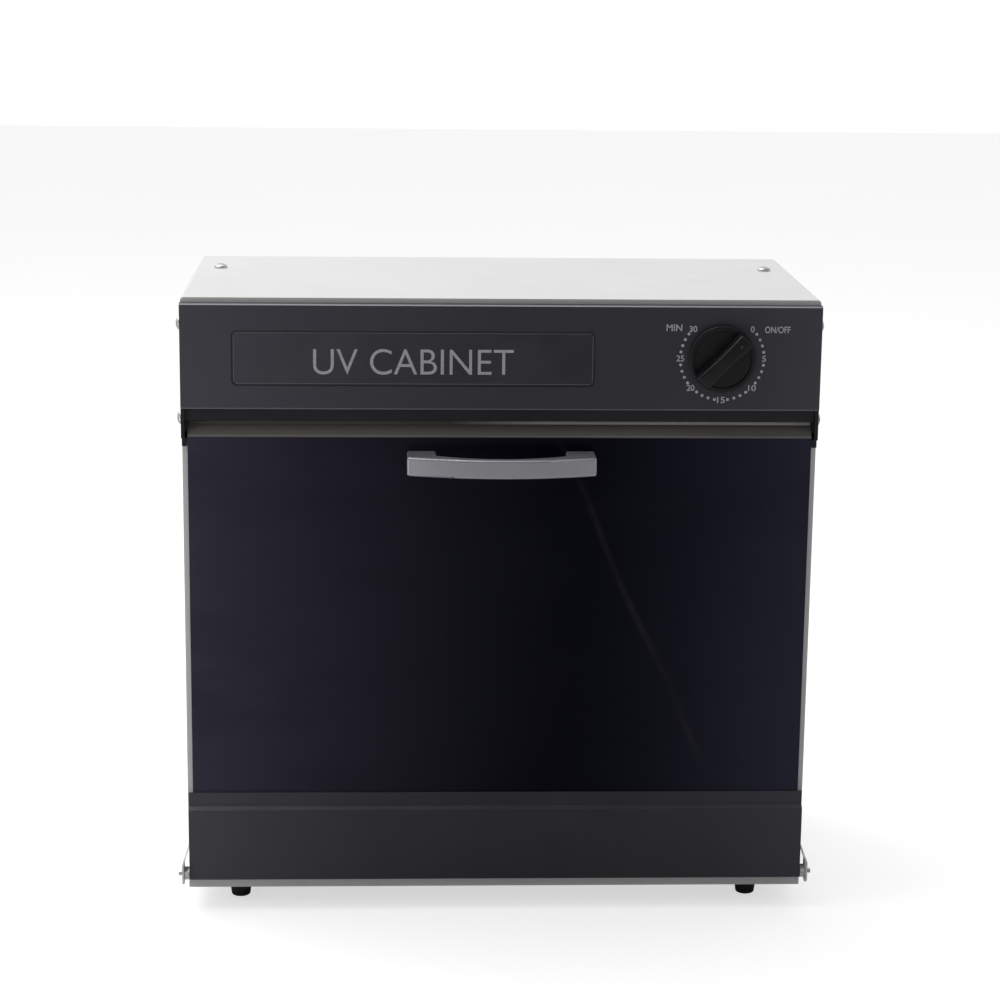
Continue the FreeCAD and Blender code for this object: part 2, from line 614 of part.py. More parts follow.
def timer():
    """Clockwork case behind the fascia, with the shaft that the knob turns."""
    half = "timer_case / 2"
    case = block(
        f"timer_place - {half}", "fascia_back", f"timer_level - {half}",
        "timer_case", "timer_case_depth", "timer_case",
    )
    bush = rod("timer_place", "fascia_back", "timer_level", "bush_radius", "fascia_skin", "-Y")
    bore = rod(
        "timer_place", "fascia_back + shaft_depth", "timer_level", "shaft_radius + shaft_play",
        "shaft_depth + 2 * fascia_skin", "-Y",
    )
    screw_bores = [
        rod(x, "fascia_back + screw_length", z, radius, "2 * screw_length", "-Y")
        for x, z, radius in timer_screw_holes()
    ]
    keep(less(joined([case, bush]), joined([bore] + screw_bores)), "timer_body")
    shaft = rod(
        "timer_place", "fascia_back + shaft_depth - hole_play", "timer_level", "shaft_radius",
        "shaft_depth - hole_play - fascia_skin + shaft_proud", "-Y",
    )
    keep(shaft, "timer_shaft")
    screws = [
        rod(x, "fascia_back + screw_length - hole_play", z, "timer_screw_radius",
            "screw_length - hole_play + fascia_skin", "-Y")
        for x, z, _ in timer_screw_holes()
    ]
    group("timer_screws", screws)


def timer_knob():
    """Disc skirt with a grip bar across it that points up and to the right at zero."""
    body = new_body("timer_knob")
    front_of_skirt = "knob_back - skirt_thickness"
    prism(body, "XZ", front_of_skirt, "knob_back", circles=[("timer_place", "timer_level", "knob_radius")])
    face = value(front_of_skirt)
    soften(body, "skirt_bevel", lambda at, way: on(at.y, face), "Chamfer")
    prism(body, "XZ", f"{front_of_skirt} - grip_height", front_of_skirt, [grip_outline()])
    bore = ("timer_place", "timer_level", "shaft_radius + bore_play")
    pocket(body, "XZ", "front - shaft_proud - bore_play", "knob_back + gauge", circles=[bore])
    tip = value(f"{front_of_skirt} - grip_height")
    soften(body, "grip_edge", lambda at, way: on(at.y, tip), "Chamfer")


def grip_outline():
    """A bar on the 45 degree line whose ends follow the skirt's inner edge."""
    radius, half, root = "(knob_radius - skirt_bevel - grip_inset)", "(grip_width / 2)", "sqrt(2)"
    reach = f"sqrt({radius}^2 - {half}^2)"
    corners = []
    for along, across in ((-1, -1), (1, -1), (1, 1), (-1, 1)):
        u = f"timer_place + ({along} * {reach} - {across} * {half}) / {root}"
        v = f"timer_level + ({along} * {reach} + {across} * {half}) / {root}"
        corners.append((u, v))
    bulge = f"-({radius} - {reach})"
    return [corners[0], corners[1] + (bulge,), corners[2], corners[3] + (bulge,)]


# ---- Door ----


def door_panel():
    """Tinted acrylic sheet whose top is bent back into a lip under the fascia."""
    body = new_body("door_panel")
    sine, cosine = "lip_lean / lip_length", "lip_rise / lip_length"
    end_y, end_z = "panel_face + lip_lean", "lip_bend_height + lip_rise"
    inner_bend = "lip_bend_height - panel_thickness * (lip_length - lip_rise) / lip_lean"
    section = [
        ("panel_back", "panel_bottom"), ("panel_face", "panel_bottom"), ("panel_face", "lip_bend_height"),
        (end_y, end_z, "lip_edge_sagitta"),
        (f"{end_y} + panel_thickness * {cosine}", f"{end_z} - panel_thickness * {sine}"),
        ("panel_back", inner_bend),
    ]
    prism(body, "YZ", "-panel_width / 2", "panel_width / 2", [section])
    face, outer = value("panel_face"), value("lip_bend_height")
    back, inner = value("panel_back"), value(inner_bend)
    soften(body, "gauge", lambda at, way: runs_across(way) and (
        (on(at.y, face) and on(at.z, outer)) or (on(at.y, back) and on(at.z, inner))
    ))
    holes = [(x, "handle_level", "shank_radius + hole_play") for x in both_sides("handle_hole_spacing / 2")]
    pocket(body, "XZ", "panel_face - gauge", "panel_back + gauge", circles=holes)


def door_moulding():
    """Stepped rail along the door's foot, rebated for the panel and hollow behind."""
    body = new_body("door_moulding")
    band, nose = "front - moulding_band_proud", "front - moulding_proud"
    section = [
        ("panel_back", "moulding_bottom"), (f"{nose} + moulding_corner", "moulding_bottom"),
        (nose, "moulding_bottom + moulding_corner"), (nose, "moulding_step_low"),
        (band, "moulding_step_high"), (band, "moulding_top"), ("panel_face", "moulding_top"),
        ("panel_face", "panel_bottom"), ("panel_back", "panel_bottom"),
    ]
    prism(body, "YZ", "-moulding_width / 2", "moulding_width / 2", [section])
    side = "moulding_width / 2 - moulding_hollow_inset"
    hollow = rectangle(f"-({side})", "moulding_hollow_low", side, "moulding_hollow_high")
    pocket(body, "XZ", f"{nose} + moulding_skin", "front", [hollow])
    bore = ("pivot_y", "pivot_height", "pin_radius + pin_play")
    pocket(body, "YZ", "moulding_width / 2 - pin_depth", "moulding_width / 2 + gauge", circles=[bore])
    pocket(body, "YZ", "-moulding_width / 2 - gauge", "pin_depth - moulding_width / 2", circles=[bore])


def pivots():
    """Pins fixed in the moulding's ends that turn in the hinge ears, each with a clamping nut."""
    nuts = []
    start = "moulding_width / 2 - pin_depth"
    for side, label, way in ((1, "right", "+X"), (-1, "left", "-X")):
        x = f"{side} * ({start})"
        length = f"half_width + pin_tip - ({start})"
        keep(rod(x, "pivot_y", "pivot_height", "pin_radius", length, way), f"pivot_pin_{label}")
        nut = bind(
            locate(doc.addObject("Part::Prism", "Nut"), f"{side} * moulding_width / 2", "pivot_y",
                   "pivot_height", way),
            Circumradius="pivot_nut_radius", Height="ear_inner - pivot_nut_play - moulding_width / 2",
        )
        bore = rod(
            f"{side} * (moulding_width / 2 - gauge)", "pivot_y", "pivot_height", "pin_radius + pin_play",
            "pivot_nut_radius + 2 * gauge", way,
        )
        nuts.append(less(nut, bore))
    group("pivot_nuts", nuts)


def handle():
    """Bow handle: a bar that arches away from the door between two posts."""
    body = new_body("handle")
    half, post = "handle_length / 2", "handle_length / 2 - handle_post_width"
    end, bow = "front - handle_end_proud", "handle_reach - handle_end_proud"
    outline = [
        (f"-({half})", "panel_face"), (f"-({post})", "panel_face"),
        (f"-({post})", f"{end} + handle_bar", f"-({bow})"), (post, f"{end} + handle_bar"),
        (post, "panel_face"), (half, "panel_face"), (half, end, bow), (f"-({half})", end),
    ]
    prism(body, "XY", "handle_low", "handle_low + handle_height", [outline])
    back = value("panel_face")
    soften(body, "handle_edge", lambda at, way: at.y < back - NEAR)
    holes = [(x, "handle_level", "shank_radius + hole_play") for x in both_sides("handle_hole_spacing / 2")]
    depth = "handle_screw_length - panel_thickness"
    pocket(body, "XZ", f"panel_face - ({depth})", "panel_face + gauge", circles=holes)


def strike_plate():
    body = new_body("strike_plate")
    outline = rectangle(
        "catch_inner - strike_inset", "catch_level - catch_height / 2",
        "catch_inner - strike_inset + strike_width", "catch_level + catch_height / 2",
    )
    prism(body, "XZ", "panel_back", "panel_back + strike_thickness", [outline])


# ---- Inside the chamber ----


def catch():
    """Magnetic catch on the right side wall."""
    keep(block(
        "catch_inner", "front + catch_setback", "catch_level - catch_height / 2",
        "inside - catch_inner", "catch_depth", "catch_height",
    ), "catch_body")


def lamp():
    """A straight tube with a two-pin cap at each end."""
    keep(rod("-tube_length / 2", "lamp_y", "lamp_z", "tube_radius", "tube_length", "+X"), "uv_lamp_tube")
    caps = []
    for side, way in ((1, "+X"), (-1, "-X")):
        cap = [rod(f"{side} * tube_length / 2", "lamp_y", "lamp_z", "cap_radius", "cap_length", way)]
        for share in (-1, 1):
            y = f"lamp_y + {share} * lamp_pin_spacing / 2"
            cap.append(rod(f"{side} * cap_end", y, "lamp_z", "lamp_pin_radius", "lamp_pin_length", way))
        caps.append(joined(cap))
    group("lamp_end_caps", caps)
    for side, label in ((-1, "left"), (1, "right")):
        lamp_holder(f"lamp_holder_{label}", side)


def lamp_holder(label, side):
    """Push-in holder under the ceiling, with a slot for the cap's two pins."""
    body = new_body(label)
    near = "(cap_end + holder_gap)"
    half = "holder_width / 2"
    outline = rounded(
        f"(lamp_y - {half})", "(lamp_z - holder_drop)", f"(lamp_y + {half})", "ceiling_level",
        "holder_slot * 2",
    )
    low, high = (near, f"{near} + holder_thickness")
    if side < 0:
        low, high = f"-({high})", f"-{near}"
    prism(body, "YZ", low, high, [outline])
    reach = "lamp_pin_spacing"
    low_slot, high_slot = "lamp_z - holder_slot", "lamp_z + holder_slot"
    slot = rectangle(f"lamp_y - {reach}", low_slot, f"lamp_y + {reach}", high_slot)
    depth = "lamp_pin_length + hole_play"
    if side > 0:
        pocket(body, "YZ", "cap_end", f"cap_end + {depth}", [slot])
    else:
        pocket(body, "YZ", f"-(cap_end + {depth})", "-cap_end", [slot])


def lamp_reflector():
    """Bright trough above the tube."""
    body = new_body("lamp_reflector")
    high, low = "ceiling_level", "ceiling_level - reflector_fall"
    flat, wide = "reflector_flat", "(reflector_flat + reflector_spread)"
    trough = [
        (f"lamp_y - {wide} - reflector_gauge", low), (f"lamp_y - {flat} - reflector_gauge", high),
        (f"lamp_y + {flat} + reflector_gauge", high), (f"lamp_y + {wide} + reflector_gauge", low),
        (f"lamp_y + {wide}", low), (f"lamp_y + {flat}", f"{high} - reflector_gauge"),
        (f"lamp_y - {flat}", f"{high} - reflector_gauge"), (f"lamp_y - {wide}", low),
    ]
    prism(body, "YZ", "-reflector_length / 2", "reflector_length / 2", [trough])


# ---- Electrics above the ceiling ----


def ballast():
    x, y = "ballast_place - ballast_length / 2", "front + ballast_depth - ballast_width / 2"
    core = block(x, y, "ceiling_top", "ballast_length", "ballast_width", "ballast_height")
    foot = block(
        f"{x} - ballast_foot", y, "ceiling_top", "ballast_length + 2 * ballast_foot", "ballast_width",
        "ballast_foot_gauge",
    )
    keep(joined([core, foot]), "ballast")
    spread = "(ballast_length / 2 + ballast_foot / 2)"
    heads = []
    for sign in "+-":
        dome = doc.addObject("Part::Ellipsoid", "Head")
        dome.Angle1 = 0
        bind(dome, Radius1="small_head_height", Radius2="small_head_radius", Radius3="small_head_radius")
        heads.append(locate(
            dome, f"ballast_place {sign} {spread}", "front + ballast_depth",
            "ceiling_top + ballast_foot_gauge",
        ))
    group("ballast_screws", heads)


def starter():
    y, seat = "front + starter_depth", "ceiling_top + starter_base_height"
    holder = rod("starter_place", y, "ceiling_top", "starter_base_radius", "starter_base_height")
    keep(holder, "starter_holder")
    keep(rod("starter_place", y, seat, "starter_radius", "starter_length"), "starter")


def terminal_block():
    """Three-way screw terminal behind the cable bushing."""
    x = "terminal_place - terminal_length / 2"
    y = "front + terminal_depth - terminal_width / 2"
    housing = block(x, y, "ceiling_top", "terminal_length", "terminal_width", "terminal_height")
    bores = [
        rod(f"{x} + terminal_length * {share} / 6", f"{y} - gauge", "ceiling_top + terminal_height / 2",
            "terminal_bore", "terminal_width + 2 * gauge", "+Y")
        for share in (1, 3, 5)
    ]
    keep(less(housing, joined(bores)), "terminal_block")


def wire(label, points):
    """A round wire along straight runs joined by tangent arcs."""
    route = [Vector(*(value(c) for c in point)) for point in points]
    bend = value("wire_bend")
    edges, start = [], route[0]
    for before, at, after in zip(route, route[1:], route[2:]):
        back, ahead = (before - at).normalize(), (after - at).normalize()
        half_turn = (math.pi - back.getAngle(ahead)) / 2
        first, last = at + back * bend * math.tan(half_turn), at + ahead * bend * math.tan(half_turn)
        middle = at + (back + ahead).normalize() * bend * (1 / math.cos(half_turn) - 1)
        edges.append(Part.LineSegment(start, first).toShape())
        edges.append(Part.Arc(first, middle, last).toShape())
        start = last
    edges.append(Part.LineSegment(start, route[-1]).toShape())
    path = Part.Wire(edges)
    ring = Part.Circle(route[0], route[1] - route[0], value("wire_radius")).toShape()
    feature = doc.addObject("Part::Feature", label)
    feature.Shape = path.makePipeShell([Part.Wire([ring])], True, True)
    keep(feature, label)
    expected = path.Length * math.pi * value("wire_radius") ** 2
    assert abs(feature.Shape.Volume / expected - 1) < 0.01, f"{label} is not a plain tube"


def wiring():
    """Wires from the terminal block to the timer, on to the ballast, and to both lamp holders."""
    terminal_front = "front + terminal_depth - terminal_width / 2"
    terminal_turn = f"{terminal_front} - wire_run"
    terminal_z = "ceiling_top + terminal_height / 2"
    timer_back = "fascia_back + timer_case_depth"
    lane = "front + wire_lane"
    right, left = "timer_place + timer_case / 4", "timer_place - timer_case / 4"
    wire("wire_terminal_timer", [
        ("terminal_place", terminal_front, terminal_z), ("terminal_place", terminal_turn, terminal_z),
        ("terminal_place", terminal_turn, "wire_level"), (right, terminal_turn, "wire_level"),
        (right, lane, "timer_level"), (right, timer_back, "timer_level"),
    ])
    ballast_front = "front + ballast_depth - ballast_width / 2"
    ballast_z = "ceiling_top + ballast_height / 2"
    wire("wire_timer_ballast", [
        (left, timer_back, "timer_level"), (left, lane, "timer_level"),
        ("ballast_place", lane, ballast_z), ("ballast_place", ballast_front, ballast_z),
    ])
    ballast_side, ballast_y = "ballast_place - ballast_length / 2", "front + ballast_depth"
    ballast_turn = f"{ballast_side} - wire_run"
    wire("wire_ballast_lamp", [
        (ballast_side, ballast_y, ballast_z), (ballast_turn, ballast_y, ballast_z),
        (ballast_turn, "lamp_y", ballast_z), (ballast_turn, "lamp_y", "ceiling_top"),
    ])
    starter_y, starter_z = "front + starter_depth", "ceiling_top + starter_base_height / 2"
    starter_turn, run_z = "starter_place + wire_reach", "ceiling_top + wire_rise"
    holder = "cap_end + holder_gap + holder_thickness / 2"
    wire("wire_starter_lamp", [
        ("starter_place + starter_base_radius", starter_y, starter_z), (starter_turn, starter_y, starter_z),
        (starter_turn, "lamp_y", run_z), (holder, "lamp_y", run_z), (holder, "lamp_y", "ceiling_top"),
    ])


# ---- Outside fittings and fasteners ----


def foot_places():
    return [(x, y) for y in ("front + foot_depth", "rear - foot_depth") for x in both_sides("foot_place")]


def feet():
    """Four rubber cones, each held by a screw from inside the base."""
    labels = ("foot_front_left", "foot_front_right", "foot_rear_left", "foot_rear_right")
    for label, (x, y) in zip(labels, foot_places()):
        cone = joined([
            taper(x, y, "foot_edge", "foot_bottom_radius", "foot_top_radius", "foot_height - foot_edge"),
            taper(x, y, 0, "foot_bottom_radius - foot_edge", "foot_bottom_radius", "foot_edge"),
        ])
        depth = "foot_screw_length + gauge"
        bore = rod(x, y, "foot_height + gauge", "shank_radius + hole_play", depth, "-Z")
        keep(less(cone, bore), label)
    screws = [screw(x, y, "bottom + gauge", "-Z", "foot_screw_length") for x, y in foot_places()]
    group("foot_screws", screws)


def fasteners():
    levels = ("side_screw_low", "side_screw_high")
    sides = (("half_width", "-X"), ("-half_width", "+X"))
    y = "front + side_screw_depth"
    group("side_screws", [
        screw(x, y, z, way, "screw_length", rise="side_head_height") for x, way in sides for z in levels
    ])
    top_y = "front + top_screw_depth"
    top_places = both_sides("top_screw_place")
    group("top_screws", [screw(x, top_y, "top", "-Z", "screw_length") for x in top_places])
    edges = both_sides("half_width - edge_screw_inset")
    group("rear_panel_screws", [
        small_screw(x, "rear", z, "-Y", "screw_length") for x in edges for z in REAR_SCREW_LEVELS
    ])
    group("base_screws", [
        small_screw(x, y, "bottom", "+Z", "screw_length") for x in edges for y in BASE_SCREW_DEPTHS
    ])
    length = "handle_screw_length - hole_play"
    group("handle_screws", [
        screw(x, "panel_back", "handle_level", "-Y", length) for x in both_sides("handle_hole_spacing / 2")
    ])


def cable_bushing():
    """Flanged rubber bushing through the rear panel."""
    place = ("bushing_place", "rear", "bushing_level")
    flange = rod(*place, "bushing_flange_radius", "bushing_flange", "+Y")
    barrel = rod(*place, "bushing_radius - hole_play", "bushing_inside + gauge", "-Y")
    bore = rod(
        "bushing_place", "rear + bushing_flange + gauge", "bushing_level", "cable_bore",
        "bushing_flange + bushing_inside + 3 * gauge", "-Y",
    )
    keep(less(joined([flange, barrel]), bore), "cable_bushing")


# ---- The whole cabinet ----


def build():
    outer_shell()
    base_panel()
    rear_panel()
    control_fascia()
    label_plate()
    timer()
    timer_knob()
    chamber_ceiling()
    hanger("hanger_left", -1)
    hanger("hanger_right", 1)
    lamp_reflector()
    lamp()
    ballast()
    starter()
    terminal_block()
    wiring()
    for name in ("upper", "lower"):
        level = f"{name}_rack_level"
        rail(f"{name}_rail_left", -1, level)
        rail(f"{name}_rail_right", 1, level)
        rack(f"{name}_rack", level)
    catch()
    strike_plate()
    door_panel()
    door_moulding()
    pivots()
    handle()
    feet()
    fasteners()
    cable_bushing()


def check():
    """Stops if any object failed, any pocket cut nothing, or any sub-part has no valid solid."""
    for obj in doc.Objects:
        broken = {"Invalid", "Error"} & set(obj.State)
        assert not broken, f"{obj.Name} ({obj.Label}) is {obj.State}"
        if obj.TypeId == "PartDesign::Pocket":
            removed = obj.BaseFeature.Shape.Volume - obj.Shape.Volume
            assert removed > NEAR, f"{obj.Name} cuts nothing"
    for node in NODES:
        shape = node.Shape
        assert not shape.isNull() and shape.isValid() and shape.Solids, f"{node.Label} has no valid solid"


build()
doc.recompute()
check()
os.makedirs("parts", exist_ok=True)
for node in NODES:
    node.Shape.exportStep(f"parts/{node.Label}.step")
print(f"{len(NODES)} sub-parts written")
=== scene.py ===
"""Looks of the UV sterilizer cabinet: materials, fine pieces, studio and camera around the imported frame.

Everything is in metres in the row frame: +Z up, the front faces -Y, feet on z = 0.
"""

import json
import math

import bmesh
import bpy
from mathutils import Matrix, Vector

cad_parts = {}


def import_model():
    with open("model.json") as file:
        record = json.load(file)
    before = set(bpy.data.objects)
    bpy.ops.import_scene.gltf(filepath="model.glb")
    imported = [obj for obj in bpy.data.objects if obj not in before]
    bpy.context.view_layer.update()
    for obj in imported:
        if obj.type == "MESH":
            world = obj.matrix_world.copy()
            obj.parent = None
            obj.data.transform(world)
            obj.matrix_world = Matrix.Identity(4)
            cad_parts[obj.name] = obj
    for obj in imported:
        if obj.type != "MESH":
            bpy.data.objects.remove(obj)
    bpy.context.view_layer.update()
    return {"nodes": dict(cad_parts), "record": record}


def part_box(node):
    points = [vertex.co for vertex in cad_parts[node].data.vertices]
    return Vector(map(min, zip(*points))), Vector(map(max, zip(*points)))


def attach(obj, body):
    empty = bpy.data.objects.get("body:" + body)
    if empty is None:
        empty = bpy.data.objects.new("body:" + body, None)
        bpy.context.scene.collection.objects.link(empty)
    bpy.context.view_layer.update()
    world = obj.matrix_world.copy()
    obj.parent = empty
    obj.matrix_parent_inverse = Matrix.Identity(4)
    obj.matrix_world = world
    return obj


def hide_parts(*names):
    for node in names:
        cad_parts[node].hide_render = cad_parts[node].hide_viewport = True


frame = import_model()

MM = 0.001

# ---- Places read from the frame ----

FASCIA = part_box("control_fascia")
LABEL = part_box("label_plate")
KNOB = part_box("timer_knob")
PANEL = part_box("door_panel")
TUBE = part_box("uv_lamp_tube")
DIAL_X = (KNOB[0].x + KNOB[1].x) / 2
DIAL_Z = (KNOB[0].z + KNOB[1].z) / 2
FACE_Y = FASCIA[0].y


# ---- Material kit ----


class Finish:
    """One procedural material, with textures in the object's own coordinates."""

    def __init__(self, name, color, roughness, metallic=0.0, **sockets):
        self.material = bpy.data.materials.new(name)
        self.material.use_nodes = True
        self.tree = self.material.node_tree
        self.shader = self.tree.nodes["Principled BSDF"]
        self.coords = self.tree.nodes.new("ShaderNodeTexCoord").outputs["Object"]
        self.color = color
        self.shader.inputs["Base Color"].default_value = (*color, 1)
        self.shader.inputs["Roughness"].default_value = roughness
        self.shader.inputs["Metallic"].default_value = metallic
        for socket, setting in sockets.items():
            self.shader.inputs[socket.replace("_", " ")].default_value = setting

    def link(self, source, target):
        self.tree.links.new(source, target)

    def node(self, kind, settings=None, **inputs):
        """Adds a node. An input is named by its socket, or by i and its number."""
        made = self.tree.nodes.new(f"ShaderNode{kind}")
        for key, setting in (settings or {}).items():
            setattr(made, key, setting)
        for key, given in inputs.items():
            numbered = key[0] == "i" and key[1:].isdigit()
            socket = made.inputs[int(key[1:]) if numbered else key]
            if isinstance(given, bpy.types.NodeSocket):
                self.link(given, socket)
            else:
                socket.default_value = given
        return made

    def stretched(self, scale):
        return self.node("Mapping", Vector=self.coords, Scale=scale).outputs["Vector"]

    def noise(self, scale, detail=3.0, roughness=0.5, vector=None):
        made = self.node(
            "TexNoise", Vector=vector or self.coords, Scale=scale, Detail=detail, Roughness=roughness
        )
        return made.outputs["Fac"]

    def cells(self, scale):
        return self.node("TexVoronoi", Vector=self.coords, Scale=scale).outputs["Distance"]

    def span(self, source, low, high, to_low=0.0, to_high=1.0):
        """The source's stretch from low to high, mapped to another stretch and held at its ends."""
        made = self.node("MapRange", i0=source, i1=low, i2=high, i3=to_low, i4=to_high)
        return made.outputs[0]

    def math(self, operation, *values):
        made = self.node("Math", {"operation": operation}, **{f"i{k}": v for k, v in enumerate(values)})
        return made.outputs[0]

    def axis(self, letter):
        return self.node("SeparateXYZ", Vector=self.coords).outputs[letter]

    def mixed(self, share, first, second):
        """Two colours mixed, through the Mix node's colour sockets."""
        first, second = (c if isinstance(c, bpy.types.NodeSocket) else (*c, 1) for c in (first, second))
        return self.node("Mix", {"data_type": "RGBA"}, i0=share, i6=first, i7=second).outputs[2]

    def paint(self, share, other):
        """Mixes another colour over what the shader has so far."""
        base = self.shader.inputs["Base Color"]
        under = base.links[0].from_socket if base.links else self.color
        self.link(self.mixed(share, under, other), base)

    def gloss(self, source):
        self.link(source, self.shader.inputs["Roughness"])

    def bump(self, height, distance, strength=1.0):
        """Adds relief, distance in metres, over any relief that is there already."""
        normal = self.shader.inputs["Normal"]
        under = normal.links[0].from_socket if normal.links else None
        made = self.node("Bump", Height=height, Distance=distance, Strength=strength)
        if under:
            self.link(under, made.inputs["Normal"])
        self.link(made.outputs["Normal"], normal)


def shade(color, factor):
    return tuple(channel * factor for channel in color)


# ---- Materials ----


def white_enamel():
    """Powder coat: orange-peel relief, faint cloudiness and light dust."""
    f = Finish("white_enamel", (0.76, 0.76, 0.755), 0.42)
    f.paint(f.span(f.noise(9, 4), 0.35, 0.75), (0.72, 0.72, 0.715))
    f.paint(f.span(f.noise(1400, 2), 0.66, 0.75, 0, 0.35), (0.66, 0.66, 0.655))
    f.gloss(f.span(f.noise(35, 4), 0.3, 0.7, 0.34, 0.5))
    f.bump(f.noise(520, 2), 0.00006)
    f.bump(f.cells(1500), 0.00002)
    return f.material


def side_sheen(f, half, left, right):
    """Paints a highlight into the colour: a lighter sheen that grows toward the front's left and right
    ends, drifting with noise.
    """
    drift = f.math("MULTIPLY", f.math("SUBTRACT", f.noise(6, 3), 0.5), 0.05)
    across = f.math("ADD", f.axis("X"), drift)
    on_left = f.math("POWER", f.span(across, -half, half * 0.35, 1.0, 0.0), 1.8)
    on_right = f.math("POWER", f.span(across, half * 0.1, half, 0.0, 1.0), 2.0)
    f.paint(on_left, left)
    f.paint(on_right, right)


def between(f, source, low, high, blur):
    """1 where the source lies between two levels, 0 elsewhere."""
    rising = f.span(source, low - blur, low + blur)
    return f.math("MULTIPLY", rising, f.span(source, high - blur, high + blur, 1.0, 0.0))


PALER_FROM = 100 * MM  # a level above the door's lower moulding
FASCIA_BEVEL = 0.9 * MM
FASCIA_SKIRT_TOP = 318.6 * MM  # where the set-back skirt under the face begins
FINE_BLUR = 0.1 * MM


def black_moulding():
    """Spark-textured ABS with a slight blue cast; painted sheen toward its ends, painted shade on the
    fascia's skirt and painted highlights on its bevels.
    """
    f = Finish("black_moulding", (0.012, 0.012, 0.019), 0.46)
    # Painted highlight: a lighter sheen toward both ends of the front.
    side_sheen(f, (FASCIA[1].x - FASCIA[0].x) / 2, (0.052, 0.051, 0.066), (0.042, 0.042, 0.055))
    f.paint(f.span(f.noise(14, 4), 0.35, 0.7, 0, 0.35), (0.030, 0.030, 0.040))
    f.paint(f.span(f.noise(2600, 2), 0.62, 0.72, 0, 0.4), (0.036, 0.036, 0.044))
    z = f.axis("Z")
    # The fascia is a little paler than the door's lower moulding; its set-back skirt and legs are painted
    # darker, as painted shade under the face.
    f.paint(f.span(z, PALER_FROM, FASCIA_SKIRT_TOP, 0, 0.1), (0.20, 0.20, 0.26))
    f.paint(between(f, z, FASCIA[0].z, FASCIA_SKIRT_TOP, FINE_BLUR), (0.006, 0.006, 0.012))
    # Painted highlight along the bevel at the face's lower edge.
    low_bevel_highlight = between(f, z, FASCIA_SKIRT_TOP, FASCIA_SKIRT_TOP + FASCIA_BEVEL, FINE_BLUR)
    f.paint(low_bevel_highlight, (0.17, 0.168, 0.18))
    top = FASCIA[1].z
    # Painted highlight along the bevel at the fascia's top edge.
    top_bevel_highlight = between(f, z, top - FASCIA_BEVEL, top - 0.15 * FASCIA_BEVEL, 0.8 * FINE_BLUR)
    f.paint(f.math("MULTIPLY", top_bevel_highlight, 0.9), (0.40, 0.40, 0.44))
    f.gloss(f.span(f.noise(22, 5), 0.3, 0.7, 0.38, 0.52))
    f.bump(f.noise(1900, 3), 0.00005)
    f.bump(f.cells(2400), 0.00003)
    return f.material


LABEL_EDGE = 0.6 * MM  # width of the painted highlight round the plate's rim


def label_face():
    """Smooth black plate with painted sheen toward its ends and a painted highlight round its edge."""
    f = Finish("label_face", (0.013, 0.013, 0.018), 0.4)
    # Painted highlight: a lighter sheen toward both ends.
    side_sheen(f, (FASCIA[1].x - FASCIA[0].x) / 2, (0.060, 0.059, 0.078), (0.050, 0.050, 0.062))
    f.paint(f.span(f.noise(40, 3), 0.4, 0.7, 0.08, 0.14), (0.16, 0.16, 0.20))
    middle, half = (LABEL[0] + LABEL[1]) / 2, (LABEL[1] - LABEL[0]) / 2
    # Painted highlight round the plate's edge.
    for letter, centre, reach in (("X", middle.x, half.x), ("Z", middle.z, half.z)):
        off = f.math("ABSOLUTE", f.math("SUBTRACT", f.axis(letter), centre))
        f.paint(f.span(off, reach - LABEL_EDGE, reach - LABEL_EDGE / 2, 0, 0.8), (0.150, 0.145, 0.145))
    f.gloss(f.span(f.noise(60, 4), 0.3, 0.7, 0.34, 0.46))
    f.bump(f.noise(2400, 2), 0.00002)
    return f.material


def print_ink(name, color):
    """Screen-printed ink, thin and slightly uneven."""
    f = Finish(name, color, 0.55)
    f.paint(f.span(f.noise(900, 3), 0.35, 0.7), shade(color, 0.8))
    f.bump(f.noise(2200, 2), 0.00002)
    return f.material


def knob_plastic():
    f = Finish("knob_plastic", (0.0055, 0.0055, 0.0075), 0.36, Specular_IOR_Level=0.4)
    f.paint(f.span(f.noise(120, 4), 0.4, 0.7), (0.010, 0.010, 0.013))
    f.gloss(f.span(f.noise(80, 4), 0.3, 0.7, 0.3, 0.46))
    f.bump(f.noise(2400, 2), 0.00003)
    return f.material


LIP_BEND = 302.1 * MM  # height at which the door's top leans back
LIP_EDGE = 308.6 * MM  # height at which its cut edge begins
LIP_CREASE = 0.6 * MM
LIP_LIT_FROM = -30 * MM  # the painted highlight on the cut edge brightens between these places across the front
LIP_LIT_BY = 20 * MM


